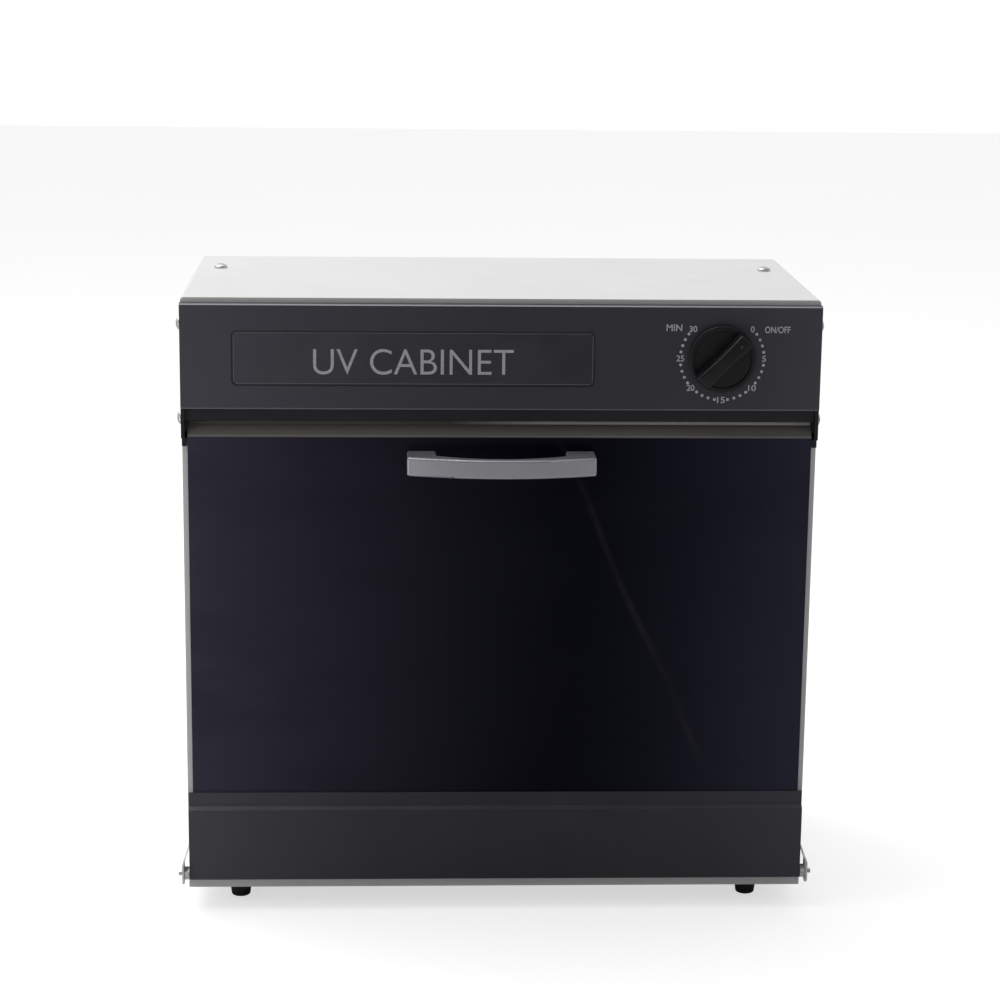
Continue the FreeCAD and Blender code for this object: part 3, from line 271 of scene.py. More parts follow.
def tinted_acrylic():
    """Polished sheet, nearly black, with wipe marks; painted sheen toward its sides, a painted reflection
    streak, and a painted reflection and highlights on the lip.
    """
    f = Finish("tinted_acrylic", (0.0016, 0.0015, 0.0075), 0.05, Specular_IOR_Level=0.05)
    # Painted reflection: a lighter sheen toward both sides of the door.
    side_sheen(f, (PANEL[1].x - PANEL[0].x) / 2, (0.050, 0.048, 0.072), (0.033, 0.033, 0.056))
    wipes = f.noise(7, 5, 0.6, f.stretched((1.0, 1.0, 3.2)))
    f.paint(f.span(wipes, 0.52, 0.8, 0, 0.4), (0.010, 0.010, 0.018))
    # Painted reflection: a faint slanting streak.
    f.paint(streak(f), (0.030, 0.030, 0.036))
    z = f.axis("Z")
    # Painted reflection: the lip above the bend is lighter, standing in for the light it catches from
    # above.
    f.paint(f.span(z, LIP_BEND - 2 * FINE_BLUR, LIP_BEND + 2 * FINE_BLUR), (0.145, 0.136, 0.124))
    # Painted highlight along the bend.
    crease_highlight = between(f, z, LIP_BEND - LIP_CREASE, LIP_BEND + LIP_CREASE, LIP_CREASE / 2)
    f.paint(crease_highlight, (0.190, 0.184, 0.174))
    # Painted highlight on the lip's polished cut edge, stronger toward the right.
    edge = f.span(z, LIP_EDGE - 3 * FINE_BLUR, LIP_EDGE + FINE_BLUR)
    lit = f.span(f.axis("X"), LIP_LIT_FROM, LIP_LIT_BY, 0.12, 1.0)
    f.paint(f.math("MULTIPLY", edge, lit), (0.95, 0.93, 0.90))
    f.gloss(f.span(wipes, 0.45, 0.8, 0.035, 0.12))
    f.bump(f.noise(16, 2), 0.00012, 0.35)
    return f.material


STREAK_TOP = Vector((30, 300)) * MM  # x and z of the ends of the long faint painted reflection streak on the door
STREAK_LOW = Vector((126, 103)) * MM
STREAK_WIDTH = 3.2 * MM
STREAK_BEND = 30 * MM


def streak(f):
    """A painted reflection, a faint slanting streak: strong near its line, fading with distance and broken
    by noise.
    """
    along = (STREAK_LOW - STREAK_TOP).normalized()
    across = Vector((-along.y, along.x))
    offset = across.dot(STREAK_TOP)
    x, z = f.axis("X"), f.axis("Z")
    side = f.math("ADD", f.math("MULTIPLY", x, across.x), f.math("MULTIPLY", z, across.y))
    bend = f.math("MULTIPLY", f.math("SUBTRACT", f.noise(5, 1), 0.5), STREAK_BEND)
    distance = f.math("ABSOLUTE", f.math("ADD", f.math("SUBTRACT", side, offset), bend))
    line = f.span(distance, 0.0, STREAK_WIDTH, 0.55, 0.0)
    broken = f.span(f.noise(26, 3), 0.38, 0.62, 0.25, 1.0)
    within = f.math("MULTIPLY", f.span(z, 0.090, 0.115), f.span(z, 0.285, 0.305, 1.0, 0.0))
    return f.math("MULTIPLY", f.math("MULTIPLY", line, broken), within)


def satin_silver():
    """Silver lacquer over cast metal: soft sheen with fine flake."""
    f = Finish("satin_silver", (0.50, 0.50, 0.535), 0.4, 0.72)
    f.paint(f.span(f.noise(2600, 2), 0.4, 0.66), (0.40, 0.40, 0.435))
    f.paint(f.span(f.noise(60, 3), 0.45, 0.75), (0.46, 0.455, 0.49))
    f.gloss(f.span(f.noise(140, 4), 0.3, 0.7, 0.34, 0.46))
    f.bump(f.noise(2000, 2), 0.00002)
    return f.material


def screw_steel():
    """Bright zinc plate with fine turning marks and slight dulling."""
    f = Finish("screw_steel", (0.64, 0.64, 0.65), 0.28, 1.0)
    f.paint(f.span(f.noise(420, 4), 0.45, 0.7), (0.42, 0.42, 0.43))
    f.gloss(f.span(f.noise(700, 3), 0.3, 0.7, 0.2, 0.42))
    f.bump(f.noise(1700, 2), 0.00002)
    return f.material


def foot_rubber():
    f = Finish("foot_rubber", (0.018, 0.018, 0.020), 0.62)
    f.paint(f.span(f.noise(260, 4), 0.45, 0.75), (0.032, 0.032, 0.034))
    f.gloss(f.span(f.noise(90, 3), 0.3, 0.7, 0.5, 0.72))
    f.bump(f.noise(900, 4), 0.00006)
    return f.material


def zinc_sheet():
    """Galvanised sheet with spangle."""
    f = Finish("zinc_sheet", (0.50, 0.51, 0.52), 0.4, 0.9)
    spangle = f.node("TexVoronoi", Vector=f.coords, Scale=160).outputs["Color"]
    tone = f.node("SeparateColor", Color=spangle).outputs[0]
    f.paint(f.span(tone, 0.1, 0.9), (0.38, 0.39, 0.41))
    f.gloss(f.span(tone, 0, 1, 0.3, 0.5))
    f.bump(f.noise(300, 3), 0.00004)
    return f.material


def bright_reflector():
    """Rolled bright aluminium: fine lines along the trough."""
    f = Finish("bright_reflector", (0.80, 0.81, 0.82), 0.16, 1.0)
    lines = f.noise(60, 3, 0.6, f.stretched((1.0, 60.0, 60.0)))
    f.paint(f.span(lines, 0.4, 0.7), (0.66, 0.67, 0.69))
    f.gloss(f.span(lines, 0.3, 0.7, 0.1, 0.26))
    f.bump(lines, 0.00002)
    return f.material


def lamp_glass():
    f = Finish("lamp_glass", (0.93, 0.96, 1.0), 0.03, Transmission_Weight=0.92, IOR=1.46)
    haze = f.noise(45, 4)
    f.paint(f.span(haze, 0.55, 0.8, 0, 0.5), (0.72, 0.78, 0.86))
    f.gloss(f.span(haze, 0.4, 0.8, 0.02, 0.12))
    f.bump(f.noise(30, 2), 0.00005, 0.3)
    return f.material


def lamp_metal():
    f = Finish("lamp_metal", (0.70, 0.70, 0.71), 0.3, 1.0)
    rings = f.noise(400, 2, 0.5, f.stretched((12.0, 1.0, 1.0)))
    f.paint(f.span(rings, 0.4, 0.7), (0.52, 0.52, 0.53))
    f.gloss(f.span(rings, 0.3, 0.7, 0.22, 0.4))
    f.bump(rings, 0.00003)
    return f.material


def plain_plastic(name, color, roughness):
    """Moulded plastic with a fine grain and slight unevenness of tone."""
    f = Finish(name, color, roughness)
    f.paint(f.span(f.noise(70, 4), 0.4, 0.75), shade(color, 0.86))
    f.gloss(f.span(f.noise(120, 3), 0.3, 0.7, roughness - 0.06, roughness + 0.08))
    f.bump(f.noise(1800, 2), 0.00003)
    return f.material


def ballast_steel():
    """Enamelled laminations, seen as fine lines."""
    f = Finish("ballast_steel", (0.52, 0.52, 0.50), 0.5, 0.3)
    lines = f.noise(40, 2, 0.5, f.stretched((1.0, 30.0, 1.0)))
    f.paint(f.span(lines, 0.4, 0.65), (0.34, 0.34, 0.33))
    f.bump(lines, 0.00015)
    return f.material


def rack_wire():
    """Bright plated wire with faint draw lines."""
    f = Finish("rack_wire", (0.70, 0.70, 0.72), 0.2, 1.0)
    f.paint(f.span(f.noise(220, 4), 0.45, 0.72), (0.50, 0.50, 0.52))
    f.gloss(f.span(f.noise(500, 3), 0.3, 0.7, 0.12, 0.32))
    f.bump(f.noise(1500, 2), 0.00002)
    return f.material


PAINTS = {
    "white_enamel": white_enamel(),
    "black_moulding": black_moulding(),
    "label_face": label_face(),
    "knob_plastic": knob_plastic(),
    "tinted_acrylic": tinted_acrylic(),
    "satin_silver": satin_silver(),
    "screw_steel": screw_steel(),
    "foot_rubber": foot_rubber(),
    "zinc_sheet": zinc_sheet(),
    "bright_reflector": bright_reflector(),
    "lamp_glass": lamp_glass(),
    "lamp_metal": lamp_metal(),
    "white_plastic": plain_plastic("white_plastic", (0.70, 0.70, 0.67), 0.42),
    "ballast_steel": ballast_steel(),
    "rack_wire": rack_wire(),
    "catch_plastic": plain_plastic("catch_plastic", (0.62, 0.62, 0.60), 0.45),
    "wire_insulation": plain_plastic("wire_insulation", (0.30, 0.04, 0.03), 0.4),
}
DIAL_INK = print_ink("dial_ink", (0.66, 0.66, 0.70))
LABEL_INK = print_ink("label_ink", (0.52, 0.51, 0.55))
WIRE_COLORS = {
    "wire_terminal_timer": (0.16, 0.07, 0.03),
    "wire_timer_ballast": (0.30, 0.04, 0.03),
    "wire_ballast_lamp": (0.45, 0.45, 0.42),
    "wire_starter_lamp": (0.04, 0.10, 0.30),
}
SLOTS = {part["node"]: part["material_slot"] for part in frame["record"]["subparts"]}
BODIES = frame["record"]["behaviour"]["bodies"]
BODY_OF = {node: body for body, nodes in BODIES.items() for node in nodes}


def dress(obj, material):
    obj.data.materials.clear()
    obj.data.materials.append(material)


def dress_nodes():
    """Gives every CAD node the material of its slot, and each wire its own colour."""
    for name, obj in frame["nodes"].items():
        for slot in obj.material_slots:
            slot.material = PAINTS[SLOTS[name]]
    for name, color in WIRE_COLORS.items():
        for slot in frame["nodes"][name].material_slots:
            slot.material = plain_plastic(name, color, 0.4)


# ---- Mesh kit ----


def piece(name, mesh, node, material=None, replaces=True):
    """Links a mesh as a piece on the body of a CAD node, with that node's slot and finish."""
    obj = bpy.data.objects.new(name, mesh)
    bpy.context.scene.collection.objects.link(obj)
    dress(obj, material or PAINTS[SLOTS[node]])
    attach(obj, BODY_OF[node])
    if replaces:
        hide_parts(node)


def mesh_from(bm, name, smooth_angle=35):
    """Turns a bmesh into a mesh, smooth except at edges sharper than the angle."""
    bmesh.ops.remove_doubles(bm, verts=bm.verts, dist=1e-7)
    bmesh.ops.recalc_face_normals(bm, faces=bm.faces)
    limit = math.radians(smooth_angle)
    for edge in bm.edges:
        edge.smooth = len(edge.link_faces) == 2 and edge.calc_face_angle(0) < limit
    for face in bm.faces:
        face.smooth = True
    mesh = bpy.data.meshes.new(name)
    bm.to_mesh(mesh)
    bm.free()
    return mesh


def lathe(bm, profile, matrix, segments=48):
    """Turns a profile of (radius, height) points about the matrix's Z axis and adds it to bm."""
    rings = []
    for radius, height in profile:
        if radius < 1e-9:
            rings.append([bm.verts.new(matrix @ Vector((0, 0, height)))])
            continue
        turns = (2 * math.pi * k / segments for k in range(segments))
        places = (Vector((radius * math.cos(a), radius * math.sin(a), height)) for a in turns)
        rings.append([bm.verts.new(matrix @ place) for place in places])
    for low, high in zip(rings, rings[1:]):
        for k in range(segments):
            lower = [low[k % len(low)], low[(k + 1) % len(low)]]
            upper = [high[(k + 1) % len(high)], high[k % len(high)]]
            unique = list(dict.fromkeys(lower + upper))
            if len(unique) > 2:
                bm.faces.new(unique)


def arc(centre_radius, centre_height, radius, start, stop, steps=6):
    """Profile points along a circular arc, angles in degrees from the outward direction."""
    turns = (math.radians(start + (stop - start) * k / steps) for k in range(steps + 1))
    return [(centre_radius + radius * math.cos(a), centre_height + radius * math.sin(a)) for a in turns]


def absorb(bm, other):
    """Adds one bmesh to another and frees it."""
    part = bpy.data.meshes.new("part")
    other.to_mesh(part)
    other.free()
    bm.from_mesh(part)
    bpy.data.meshes.remove(part)


AXES = {"X": Vector((1, 0, 0)), "Y": Vector((0, 1, 0)), "Z": Vector((0, 0, 1))}


def pointing(place, way):
    """A matrix whose Z axis points along `way`, with its origin at the place."""
    return Matrix.Translation(place) @ way.to_track_quat("Z", "Y").to_matrix().to_4x4()


def loose_boxes(node):
    """The box of each separate solid in a CAD node, from its joined-up vertices."""
    mesh = frame["nodes"][node].data
    parent = {}

    def root(key):
        while parent[key] != key:
            parent[key] = parent[parent[key]]
            key = parent[key]
        return key

    keys = [tuple(round(c, 6) for c in vertex.co) for vertex in mesh.vertices]
    for key in keys:
        parent.setdefault(key, key)
    for edge in mesh.edges:
        a, b = root(keys[edge.vertices[0]]), root(keys[edge.vertices[1]])
        parent[a] = b
    groups = {}
    for key in parent:
        groups.setdefault(root(key), []).append(key)
    boxes = [(Vector(map(min, *keys)), Vector(map(max, *keys))) for keys in groups.values()]
    return sorted(boxes, key=lambda box: tuple(box[0]))


# ---- Screws ----

RECESS_DEPTH = 0.5   # of the head's rise
RECESS_REACH = 0.56  # of the head's radius
RECESS_WIDTH = 0.17


def head_profile(radius, rise):
    """A pan head: flat underneath, a short upright rim and a low dome."""
    rim = 0.3 * rise
    dome = [(radius * math.sin(a), rim + (rise - rim) * math.cos(a))
            for a in (math.radians(90 - 90 * k / 9) for k in range(10))]
    return [(0, 0), (radius * 0.96, 0), (radius, rim * 0.3)] + dome[:-1] + [(0, rise)]


def cut_cross(radius, rise):
    """A bmesh of two tapered bars crossing in the head's top."""
    bm = bmesh.new()
    reach, width = radius * RECESS_REACH, radius * RECESS_WIDTH
    floor = rise * (1 - RECESS_DEPTH)
    for turn in (0, 90):
        made = bmesh.ops.create_cube(bm, size=1)["verts"]
        for vertex in made:
            low = vertex.co.z < 0
            long, wide = (0.45, 0.6) if low else (1.0, 1.0)
            level = floor if low else rise * 1.3
            vertex.co = Vector((vertex.co.x * 2 * reach * long, vertex.co.y * 2 * width * wide, level))
        bmesh.ops.rotate(bm, verts=made, matrix=Matrix.Rotation(math.radians(turn), 3, "Z"))
    return bm


def cross_head(radius, rise):
    """A pan head mesh with a cross recess, standing on z = 0."""
    bm = bmesh.new()
    lathe(bm, head_profile(radius, rise), Matrix(), 40)
    head = bpy.data.objects.new("head_blank", mesh_from(bm, "head_blank", 50))
    cutters = cut_cross(radius, rise)
    tool_mesh = bpy.data.meshes.new("cross")
    cutters.to_mesh(tool_mesh)
    cutters.free()
    tool = bpy.data.objects.new("cross", tool_mesh)
    for obj in (head, tool):
        bpy.context.scene.collection.objects.link(obj)
    cut = head.modifiers.new("cross", "BOOLEAN")
    cut.object = tool
    cut.solver = "EXACT"
    cut.use_self = True
    graph = bpy.context.evaluated_depsgraph_get()
    mesh = bpy.data.meshes.new_from_object(head.evaluated_get(graph))
    for obj in (head, tool):
        bpy.data.objects.remove(obj)
    return mesh


def screw_set(node, letter, rise, shank, way):
    """Replaces a CAD group of screws with cross-head screws at the same places."""
    boxes = loose_boxes(node)
    bm = bmesh.new()
    axis = "XYZ".index(letter)
    across = [k for k in range(3) if k != axis]
    radius = (boxes[0][1] - boxes[0][0])[across[0]] / 2
    head = cross_head(radius, rise)
    for index, (low, high) in enumerate(boxes):
        middle = (low + high) / 2
        sign = way or (1 if middle[axis] > 0 else -1)
        outer, inner = (high[axis], low[axis]) if sign > 0 else (low[axis], high[axis])
        seat = middle.copy()
        seat[axis] = outer - sign * rise
        stand = pointing(seat, AXES[letter] * sign) @ Matrix.Rotation(1.1 * index + 0.4, 4, "Z")
        fresh = bmesh.new()
        fresh.from_mesh(head)
        length = abs(seat[axis] - inner)
        lathe(fresh, [(0, 0), (shank, 0), (shank, -length), (0, -length)], Matrix(), 16)
        bmesh.ops.transform(fresh, matrix=stand, verts=fresh.verts)
        absorb(bm, fresh)
    piece(f"{node}_crosshead", mesh_from(bm, node, 40), node)


# Node, axis, rise of the head, radius of the shank, and the way the heads face (None: to each side)
SCREW_SETS = (
    ("side_screws", "X", 3.4 * MM, 2.0 * MM, None),
    ("top_screws", "Z", 2.6 * MM, 2.0 * MM, 1),
    ("rear_panel_screws", "Y", 1.6 * MM, 1.5 * MM, 1),
    ("base_screws", "Z", 1.6 * MM, 1.5 * MM, -1),
    ("handle_screws", "Y", 2.6 * MM, 2.0 * MM, 1),
    ("foot_screws", "Z", 2.6 * MM, 2.0 * MM, 1),
)


def screws():
    for row in SCREW_SETS:
        screw_set(*row)


# ---- Timer knob and dial ----

GRIP_ANGLE = math.radians(45)
GRIP_WIDTH = 9.4 * MM
GRIP_EDGE = 1.3 * MM
SKIRT_THICKNESS = 3.6 * MM
SKIRT_RIM = 0.9 * MM
POINTER_RADIUS = 0.75 * MM
POINTER_REACH = 0.66  # of the knob's radius


def knob():
    """Disc with a rounded rim and a full-width grip bar, softened all round, and its pointer dot."""
    radius = (KNOB[1].x - KNOB[0].x) / 2
    depth = KNOB[1].y - KNOB[0].y
    stand = pointing(Vector((DIAL_X, KNOB[1].y, DIAL_Z)), -AXES["Y"])
    bm = bmesh.new()
    skirt = [(0, 0), (radius - 0.4 * MM, 0), (radius, 0.4 * MM)]
    skirt += arc(radius - SKIRT_RIM, SKIRT_THICKNESS - SKIRT_RIM, SKIRT_RIM, 0, 90)
    skirt += arc(radius - 2.6 * MM, SKIRT_THICKNESS - 0.5 * MM, 0.5 * MM, 90, 180, 4)
    skirt += [(radius - 3.1 * MM, SKIRT_THICKNESS - 0.9 * MM), (0, SKIRT_THICKNESS - 0.9 * MM)]
    lathe(bm, skirt, stand, 96)
    grip_bar(bm, radius - 1.4 * MM, depth, stand)
    piece("timer_knob_moulding", mesh_from(bm, "timer_knob_moulding", 40), "timer_knob")
    reach = radius * POINTER_REACH
    x, z = DIAL_X + reach * math.cos(GRIP_ANGLE), DIAL_Z + reach * math.sin(GRIP_ANGLE)
    top = pointing(Vector((x, KNOB[0].y, z)), -AXES["Y"])
    rim = [(POINTER_RADIUS, -0.2 * MM), (POINTER_RADIUS, 0.02 * MM)]
    dot = bmesh.new()
    lathe(dot, [(0, -0.2 * MM), *rim, (0, 0.04 * MM)], top, 20)
    piece("timer_pointer_dot", mesh_from(dot, "timer_pointer_dot"), "timer_knob",
          print_ink("pointer_ink", (0.07, 0.07, 0.075)), replaces=False)


def grip_bar(bm, radius, depth, stand):
    """A bar whose ends follow the skirt's circle, with bevelled upper edges and waisted sides."""
    half = GRIP_WIDTH / 2
    end = math.asin(half / radius)
    outline = []
    for turn in (0, math.pi):
        for k in range(9):
            a = turn - end + 2 * end * k / 8
            outline.append(Vector((radius * math.cos(a), radius * math.sin(a), 0)))
        for k in range(1, 8):
            x = radius * math.cos(end) * (1 - 2 * k / 8) * math.cos(turn)
            waist = 0.55 * MM * math.sin(math.pi * k / 8)
            outline.append(Vector((x, (half - waist) * math.cos(turn), 0)))
    spin = stand @ Matrix.Rotation(GRIP_ANGLE, 4, "Z")
    fresh = bmesh.new()
    base = [fresh.verts.new(point + Vector((0, 0, 1 * MM))) for point in outline]
    floor = fresh.faces.new(base)
    raised = bmesh.ops.extrude_face_region(fresh, geom=[floor])["geom"]
    tops = [g for g in raised if isinstance(g, bmesh.types.BMVert)]
    bmesh.ops.translate(fresh, verts=tops, vec=(0, 0, depth - 1 * MM))
    top_edges = [edge for edge in fresh.edges if all(v in tops for v in edge.verts)]
    bmesh.ops.bevel(fresh, geom=top_edges, offset=GRIP_EDGE, segments=4, profile=0.55, affect="EDGES")
    bmesh.ops.transform(fresh, matrix=spin, verts=fresh.verts)
    absorb(bm, fresh)


INK_RISE = 0.05 * MM
DIAL_RADIUS = 25.3 * MM
ZERO_ANGLE = 45
MINUTE_ANGLE = 9
LAST_MINUTE = 30
NUMERAL_STEP = 5
NUMERAL_NUDGE = {10: 0.7 * MM, 20: -0.7 * MM}  # clear of the dots beside them
NUMERAL_HEIGHT = 3.75 * MM
NUMERAL_WIDTH = {1: 2.3 * MM, 2: 4.7 * MM}  # by number of digits
DOT_RADIUS = 0.9 * MM
WORD_HEIGHT = 4.0 * MM
# Name, words, place from the dial's centre across and up, and width
DIAL_WORDS = (
    ("dial_min", "MIN", -29.3 * MM, 18.6 * MM, 9.4 * MM),
    ("dial_on_off", "ON/OFF", 33 * MM, 17.6 * MM, 15.3 * MM),
)


def lettering(name, words, place, height, width, weight, material=DIAL_INK, node="control_fascia"):
    """Flat printed words centred at a place on a front face, with their cap height and whole width."""
    curve = bpy.data.curves.new(name, "FONT")
    curve.body = words
    curve.align_x = "CENTER"
    curve.align_y = "CENTER"
    curve.offset = weight
    curve.extrude = 0.02
    scratch = bpy.data.objects.new(name, curve)
    bpy.context.scene.collection.objects.link(scratch)
    graph = bpy.context.evaluated_depsgraph_get()
    mesh = bpy.data.meshes.new_from_object(scratch.evaluated_get(graph))
    bpy.data.objects.remove(scratch)
    low = Vector(map(min, *(v.co for v in mesh.vertices)))
    high = Vector(map(max, *(v.co for v in mesh.vertices)))
    size = high - low
    for vertex in mesh.vertices:
        share = vertex.co - (low + high) / 2
        share = Vector((share.x / size.x * width, -share.z / size.z * INK_RISE, share.y / size.y * height))
        vertex.co = Vector(place) + share
    piece(name, mesh, node, material, replaces=False)


def dial_place(minute):
    angle = math.radians(ZERO_ANGLE + MINUTE_ANGLE * minute)
    return DIAL_X + DIAL_RADIUS * math.sin(angle), DIAL_Z + DIAL_RADIUS * math.cos(angle)


def dial():
    """Printed minutes round the knob: numerals every five, dots between them, and two plain words."""
    dots = bmesh.new()
    for minute in range(LAST_MINUTE + 1):
        x, z = dial_place(minute)
        if minute % NUMERAL_STEP:
            stand = pointing(Vector((x, FACE_Y, z)), -AXES["Y"])
            lathe(dots, [(0, 0), (DOT_RADIUS, 0), (DOT_RADIUS, INK_RISE), (0, INK_RISE)], stand, 24)
        else:
            digits = str(minute)
            place = (x + NUMERAL_NUDGE.get(minute, 0), FACE_Y, z)
            width = NUMERAL_WIDTH[len(digits)]
            lettering(f"dial_{digits}", digits, place, NUMERAL_HEIGHT, width, 0.012)
    piece("dial_dots", mesh_from(dots, "dial_dots"), "control_fascia", DIAL_INK, replaces=False)
    for name, words, across, up, width in DIAL_WORDS:
        lettering(name, words, (DIAL_X + across, FACE_Y, DIAL_Z + up), WORD_HEIGHT, width, 0.008)


LABEL_WORDS_DROP = 2 * MM
LABEL_WORDS_HEIGHT = 15.5 * MM
LABEL_WORDS_WIDTH = 120 * MM


def label():
    """Generic wording on the label plate."""
    middle = (LABEL[0] + LABEL[1]) / 2
    place = (middle.x, LABEL[0].y, middle.z - LABEL_WORDS_DROP)
    size = (LABEL_WORDS_HEIGHT, LABEL_WORDS_WIDTH)
    lettering("label_words", "UV CABINET", place, *size, -0.006, LABEL_INK, "label_plate")


# ---- Feet, bushing and lamp ----


def feet():
    """Rubber cones with a rounded tread, a flared collar and a recessed screw well."""
    for node in ("foot_front_left", "foot_front_right", "foot_rear_left", "foot_rear_right"):
        low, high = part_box(node)
        top_radius, height = (high.x - low.x) / 2, high.z - low.z
        tread, edge = top_radius - 1.6 * MM, 1.2 * MM
        profile = [(0, 4 * MM), (2.6 * MM, 4 * MM), (2.8 * MM, 0.6 * MM), (3.4 * MM, 0)]
        profile += arc(tread - edge, edge, edge, -90, -12)
        profile += [(top_radius - 0.35 * MM, height - 1.6 * MM), (top_radius, height - 1.1 * MM)]
        profile += [(top_radius, height), (0, height)]
        bm = bmesh.new()
        lathe(bm, profile, Matrix.Translation(((low.x + high.x) / 2, (low.y + high.y) / 2, 0)), 64)
        piece(f"{node}_rubber", mesh_from(bm, node, 50), node)


BUSHING_BORE = 3.4 * MM
BUSHING_FLANGE = 2.2 * MM
BUSHING_BARREL = 5.9 * MM


def bushing():
    """Rubber grommet with rounded lips."""
    low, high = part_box("cable_bushing")
    middle = (low + high) / 2
    radius = (high.x - low.x) / 2
    length = high.y - low.y
    stand = pointing(Vector((middle.x, low.y, middle.z)), AXES["Y"])
    seat = length - BUSHING_FLANGE
    profile = [(BUSHING_BORE, 0), (BUSHING_BARREL - 0.6 * MM, 0), (BUSHING_BARREL, 0.6 * MM)]
    profile += [(BUSHING_BARREL, seat), (radius, seat)]
    profile += arc(radius - 1.2 * MM, length - 1.2 * MM, 1.2 * MM, 0, 90)
    profile += arc(BUSHING_BORE + 0.8 * MM, length - 0.8 * MM, 0.8 * MM, 90, 180)
    profile += [(BUSHING_BORE, 0)]
    bm = bmesh.new()
    lathe(bm, profile, stand, 64)
    piece("cable_bushing_rubber", mesh_from(bm, "cable_bushing", 50), "cable_bushing")


GLASS_WALL = 0.8 * MM
POST_RADIUS = 0.3 * MM   # the lead wires that hold the filament
POST_LENGTH = 14 * MM
POST_START = 1 * MM
POST_SPREAD = 2.2 * MM


def lamp():
    """Thin-walled tube with an electrode and its lead wires at each end."""
    radius = (TUBE[1].z - TUBE[0].z) / 2
    length = TUBE[1].x - TUBE[0].x
    middle = (TUBE[0] + TUBE[1]) / 2
    stand = pointing(Vector((TUBE[0].x, middle.y, middle.z)), AXES["X"])
    inner = radius - GLASS_WALL
    bm = bmesh.new()
    lathe(bm, [(inner, 0), (radius, 0), (radius, length), (inner, length), (inner, 0)], stand, 64)
    piece("uv_lamp_glass", mesh_from(bm, "uv_lamp_glass", 50), "uv_lamp_tube")
    electrodes = bmesh.new()
    for end, way in ((0, 1), (length, -1)):
        tip = way * POST_LENGTH
        for offset in (-POST_SPREAD, POST_SPREAD):
            post = stand @ Matrix.Translation((offset, 0, end + way * POST_START))
            lathe(electrodes, [(0, 0), (POST_RADIUS, 0), (POST_RADIUS, tip), (0, tip)], post, 12)
        coil(electrodes, stand @ Matrix.Translation((0, 0, end + way * POST_START + tip)))
    piece("uv_lamp_electrodes", mesh_from(electrodes, "uv_lamp_electrodes"), "uv_lamp_tube",
          PAINTS["lamp_metal"], replaces=False)


COIL_TURNS = 9
COIL_RADIUS = 0.7 * MM
COIL_WIRE = 0.15 * MM


def coil(bm, stand):
    """A small filament coil between the two posts."""
    steps = COIL_TURNS * 10
    rings = []
    for step in range(steps + 1):
        share = step / steps
        turn = 2 * math.pi * COIL_TURNS * share
        outward = Vector((0, math.cos(turn), math.sin(turn)))
        centre = Vector((POST_SPREAD * (2 * share - 1), 0, 0)) + outward * COIL_RADIUS
        ring = []
        for k in range(5):
            a = 2 * math.pi * k / 5
            rim = outward * COIL_WIRE * math.cos(a) + Vector((COIL_WIRE * math.sin(a), 0, 0))
            ring.append(bm.verts.new(stand @ (centre + rim)))
        rings.append(ring)
    for first, second in zip(rings, rings[1:]):
        for k in range(5):
            bm.faces.new((first[k], first[(k + 1) % 5], second[(k + 1) % 5], second[k]))
    bm.faces.new(rings[0])
    bm.faces.new(rings[-1][::-1])


# ---- Studio ----

CAMERA_PLACE = Vector((-0.0687, -1.5965, 0.6070))
CAMERA_WAY = Vector((0.0441, 0.9741, -0.2216))
CAMERA_ROLL = math.radians(0.68)
CAMERA_LENS = 92.1


def camera():
    data = bpy.data.cameras.new("camera")
    data.lens = CAMERA_LENS
    data.sensor_width = 36
    obj = bpy.data.objects.new("camera", data)
    bpy.context.scene.collection.objects.link(obj)
    turn = CAMERA_WAY.to_track_quat("-Z", "Y").to_matrix().to_4x4()
    obj.matrix_world = Matrix.Translation(CAMERA_PLACE) @ turn @ Matrix.Rotation(CAMERA_ROLL, 4, "Z")
    bpy.context.scene.camera = obj


def softbox(name, place, aim, width, height, power):
    data = bpy.data.lights.new(name, "AREA")
    data.shape = "RECTANGLE"
    data.size = width
    data.size_y = height
    data.energy = power
    obj = bpy.data.objects.new(name, data)
    bpy.context.scene.collection.objects.link(obj)
    obj.matrix_world = pointing(Vector(place), Vector(place) - Vector(aim))
    obj.visible_camera = False


WORLD_FRONT, WORLD_REAR, WORLD_ABOVE = 0.05, 0.75, 0.6


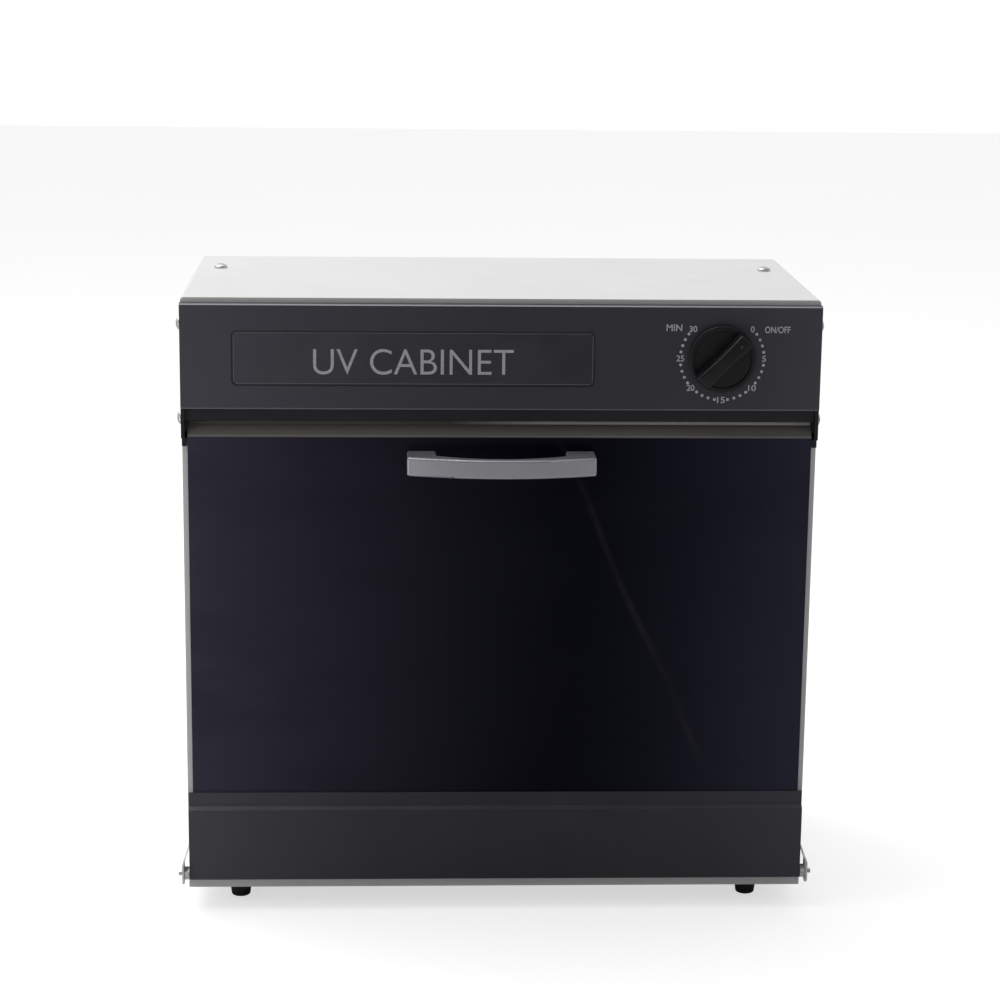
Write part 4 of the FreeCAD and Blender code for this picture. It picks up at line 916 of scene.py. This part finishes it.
def world():
    """White surroundings: bright above, behind and to the sides, dim in front of the cabinet."""
    made = bpy.data.worlds.new("studio")
    bpy.context.scene.world = made
    made.use_nodes = True
    tree = made.node_tree
    tree.nodes.clear()
    direction = tree.nodes.new("ShaderNodeTexCoord").outputs["Generated"]
    parts = tree.nodes.new("ShaderNodeSeparateXYZ")
    tree.links.new(direction, parts.inputs[0])

    def ranged(source, low, high, to_low, to_high):
        node = tree.nodes.new("ShaderNodeMapRange")
        tree.links.new(source, node.inputs[0])
        for index, number in enumerate((low, high, to_low, to_high), 1):
            node.inputs[index].default_value = number
        return node.outputs[0]

    behind = ranged(parts.outputs["Y"], -0.3, 0.35, WORLD_FRONT, WORLD_REAR)
    above = ranged(parts.outputs["Z"], 0.35, 0.9, 0.0, WORLD_ABOVE)
    most = tree.nodes.new("ShaderNodeMath")
    most.operation = "MAXIMUM"
    tree.links.new(behind, most.inputs[0])
    tree.links.new(above, most.inputs[1])
    dim = tree.nodes.new("ShaderNodeBackground")
    dim.inputs["Color"].default_value = (1, 1, 1, 1)
    tree.links.new(most.outputs[0], dim.inputs["Strength"])
    white = tree.nodes.new("ShaderNodeBackground")
    white.inputs["Color"].default_value = (1, 1, 1, 1)
    white.inputs["Strength"].default_value = 1.0
    ray = tree.nodes.new("ShaderNodeLightPath").outputs["Is Camera Ray"]
    mix = tree.nodes.new("ShaderNodeMixShader")
    tree.links.new(ray, mix.inputs[0])
    tree.links.new(dim.outputs[0], mix.inputs[1])
    tree.links.new(white.outputs[0], mix.inputs[2])
    output = tree.nodes.new("ShaderNodeOutputWorld")
    tree.links.new(mix.outputs[0], output.inputs["Surface"])


FLOOR_REACH = 6.0
FLOOR_GLOW = 0.62  # lifts the ground to white up to its horizon, and sheds no light on the cabinet


def floor():
    mesh = bpy.data.meshes.new("floor")
    corners = [(-FLOOR_REACH, -FLOOR_REACH, 0), (FLOOR_REACH, -FLOOR_REACH, 0),
               (FLOOR_REACH, FLOOR_REACH, 0), (-FLOOR_REACH, FLOOR_REACH, 0)]
    mesh.from_pydata(corners, [], [(0, 1, 2, 3)])
    obj = bpy.data.objects.new("floor", mesh)
    bpy.context.scene.collection.objects.link(obj)
    f = Finish("floor", (0.60, 0.60, 0.60), 0.9, Specular_IOR_Level=0.0)
    f.paint(f.span(f.noise(3, 2), 0.3, 0.7), (0.59, 0.59, 0.59))
    f.shader.inputs["Emission Color"].default_value = (1, 1, 1, 1)
    seen = f.node("LightPath").outputs["Is Camera Ray"]
    f.link(f.math("MULTIPLY", seen, FLOOR_GLOW), f.shader.inputs["Emission Strength"])
    dress(obj, f.material)


def studio():
    camera()
    world()
    floor()
    softbox("key_above", (-0.8, 0.35, 1.8), (0, 0, 0.1), 2.0, 1.8, 24)
    softbox("left_side", (-0.62, -0.34, 0.3), (-0.12, -0.05, 0.2), 0.25, 0.7, 0.9)
    softbox("right_side", (0.66, -0.34, 0.3), (0.12, -0.05, 0.2), 0.25, 0.7, 0.3)
    scene = bpy.context.scene
    scene.view_settings.view_transform = "Standard"
    scene.view_settings.exposure = 0.0


# ---- The whole scene ----

dress_nodes()
screws()
knob()
dial()
label()
feet()
bushing()
lamp()
studio()
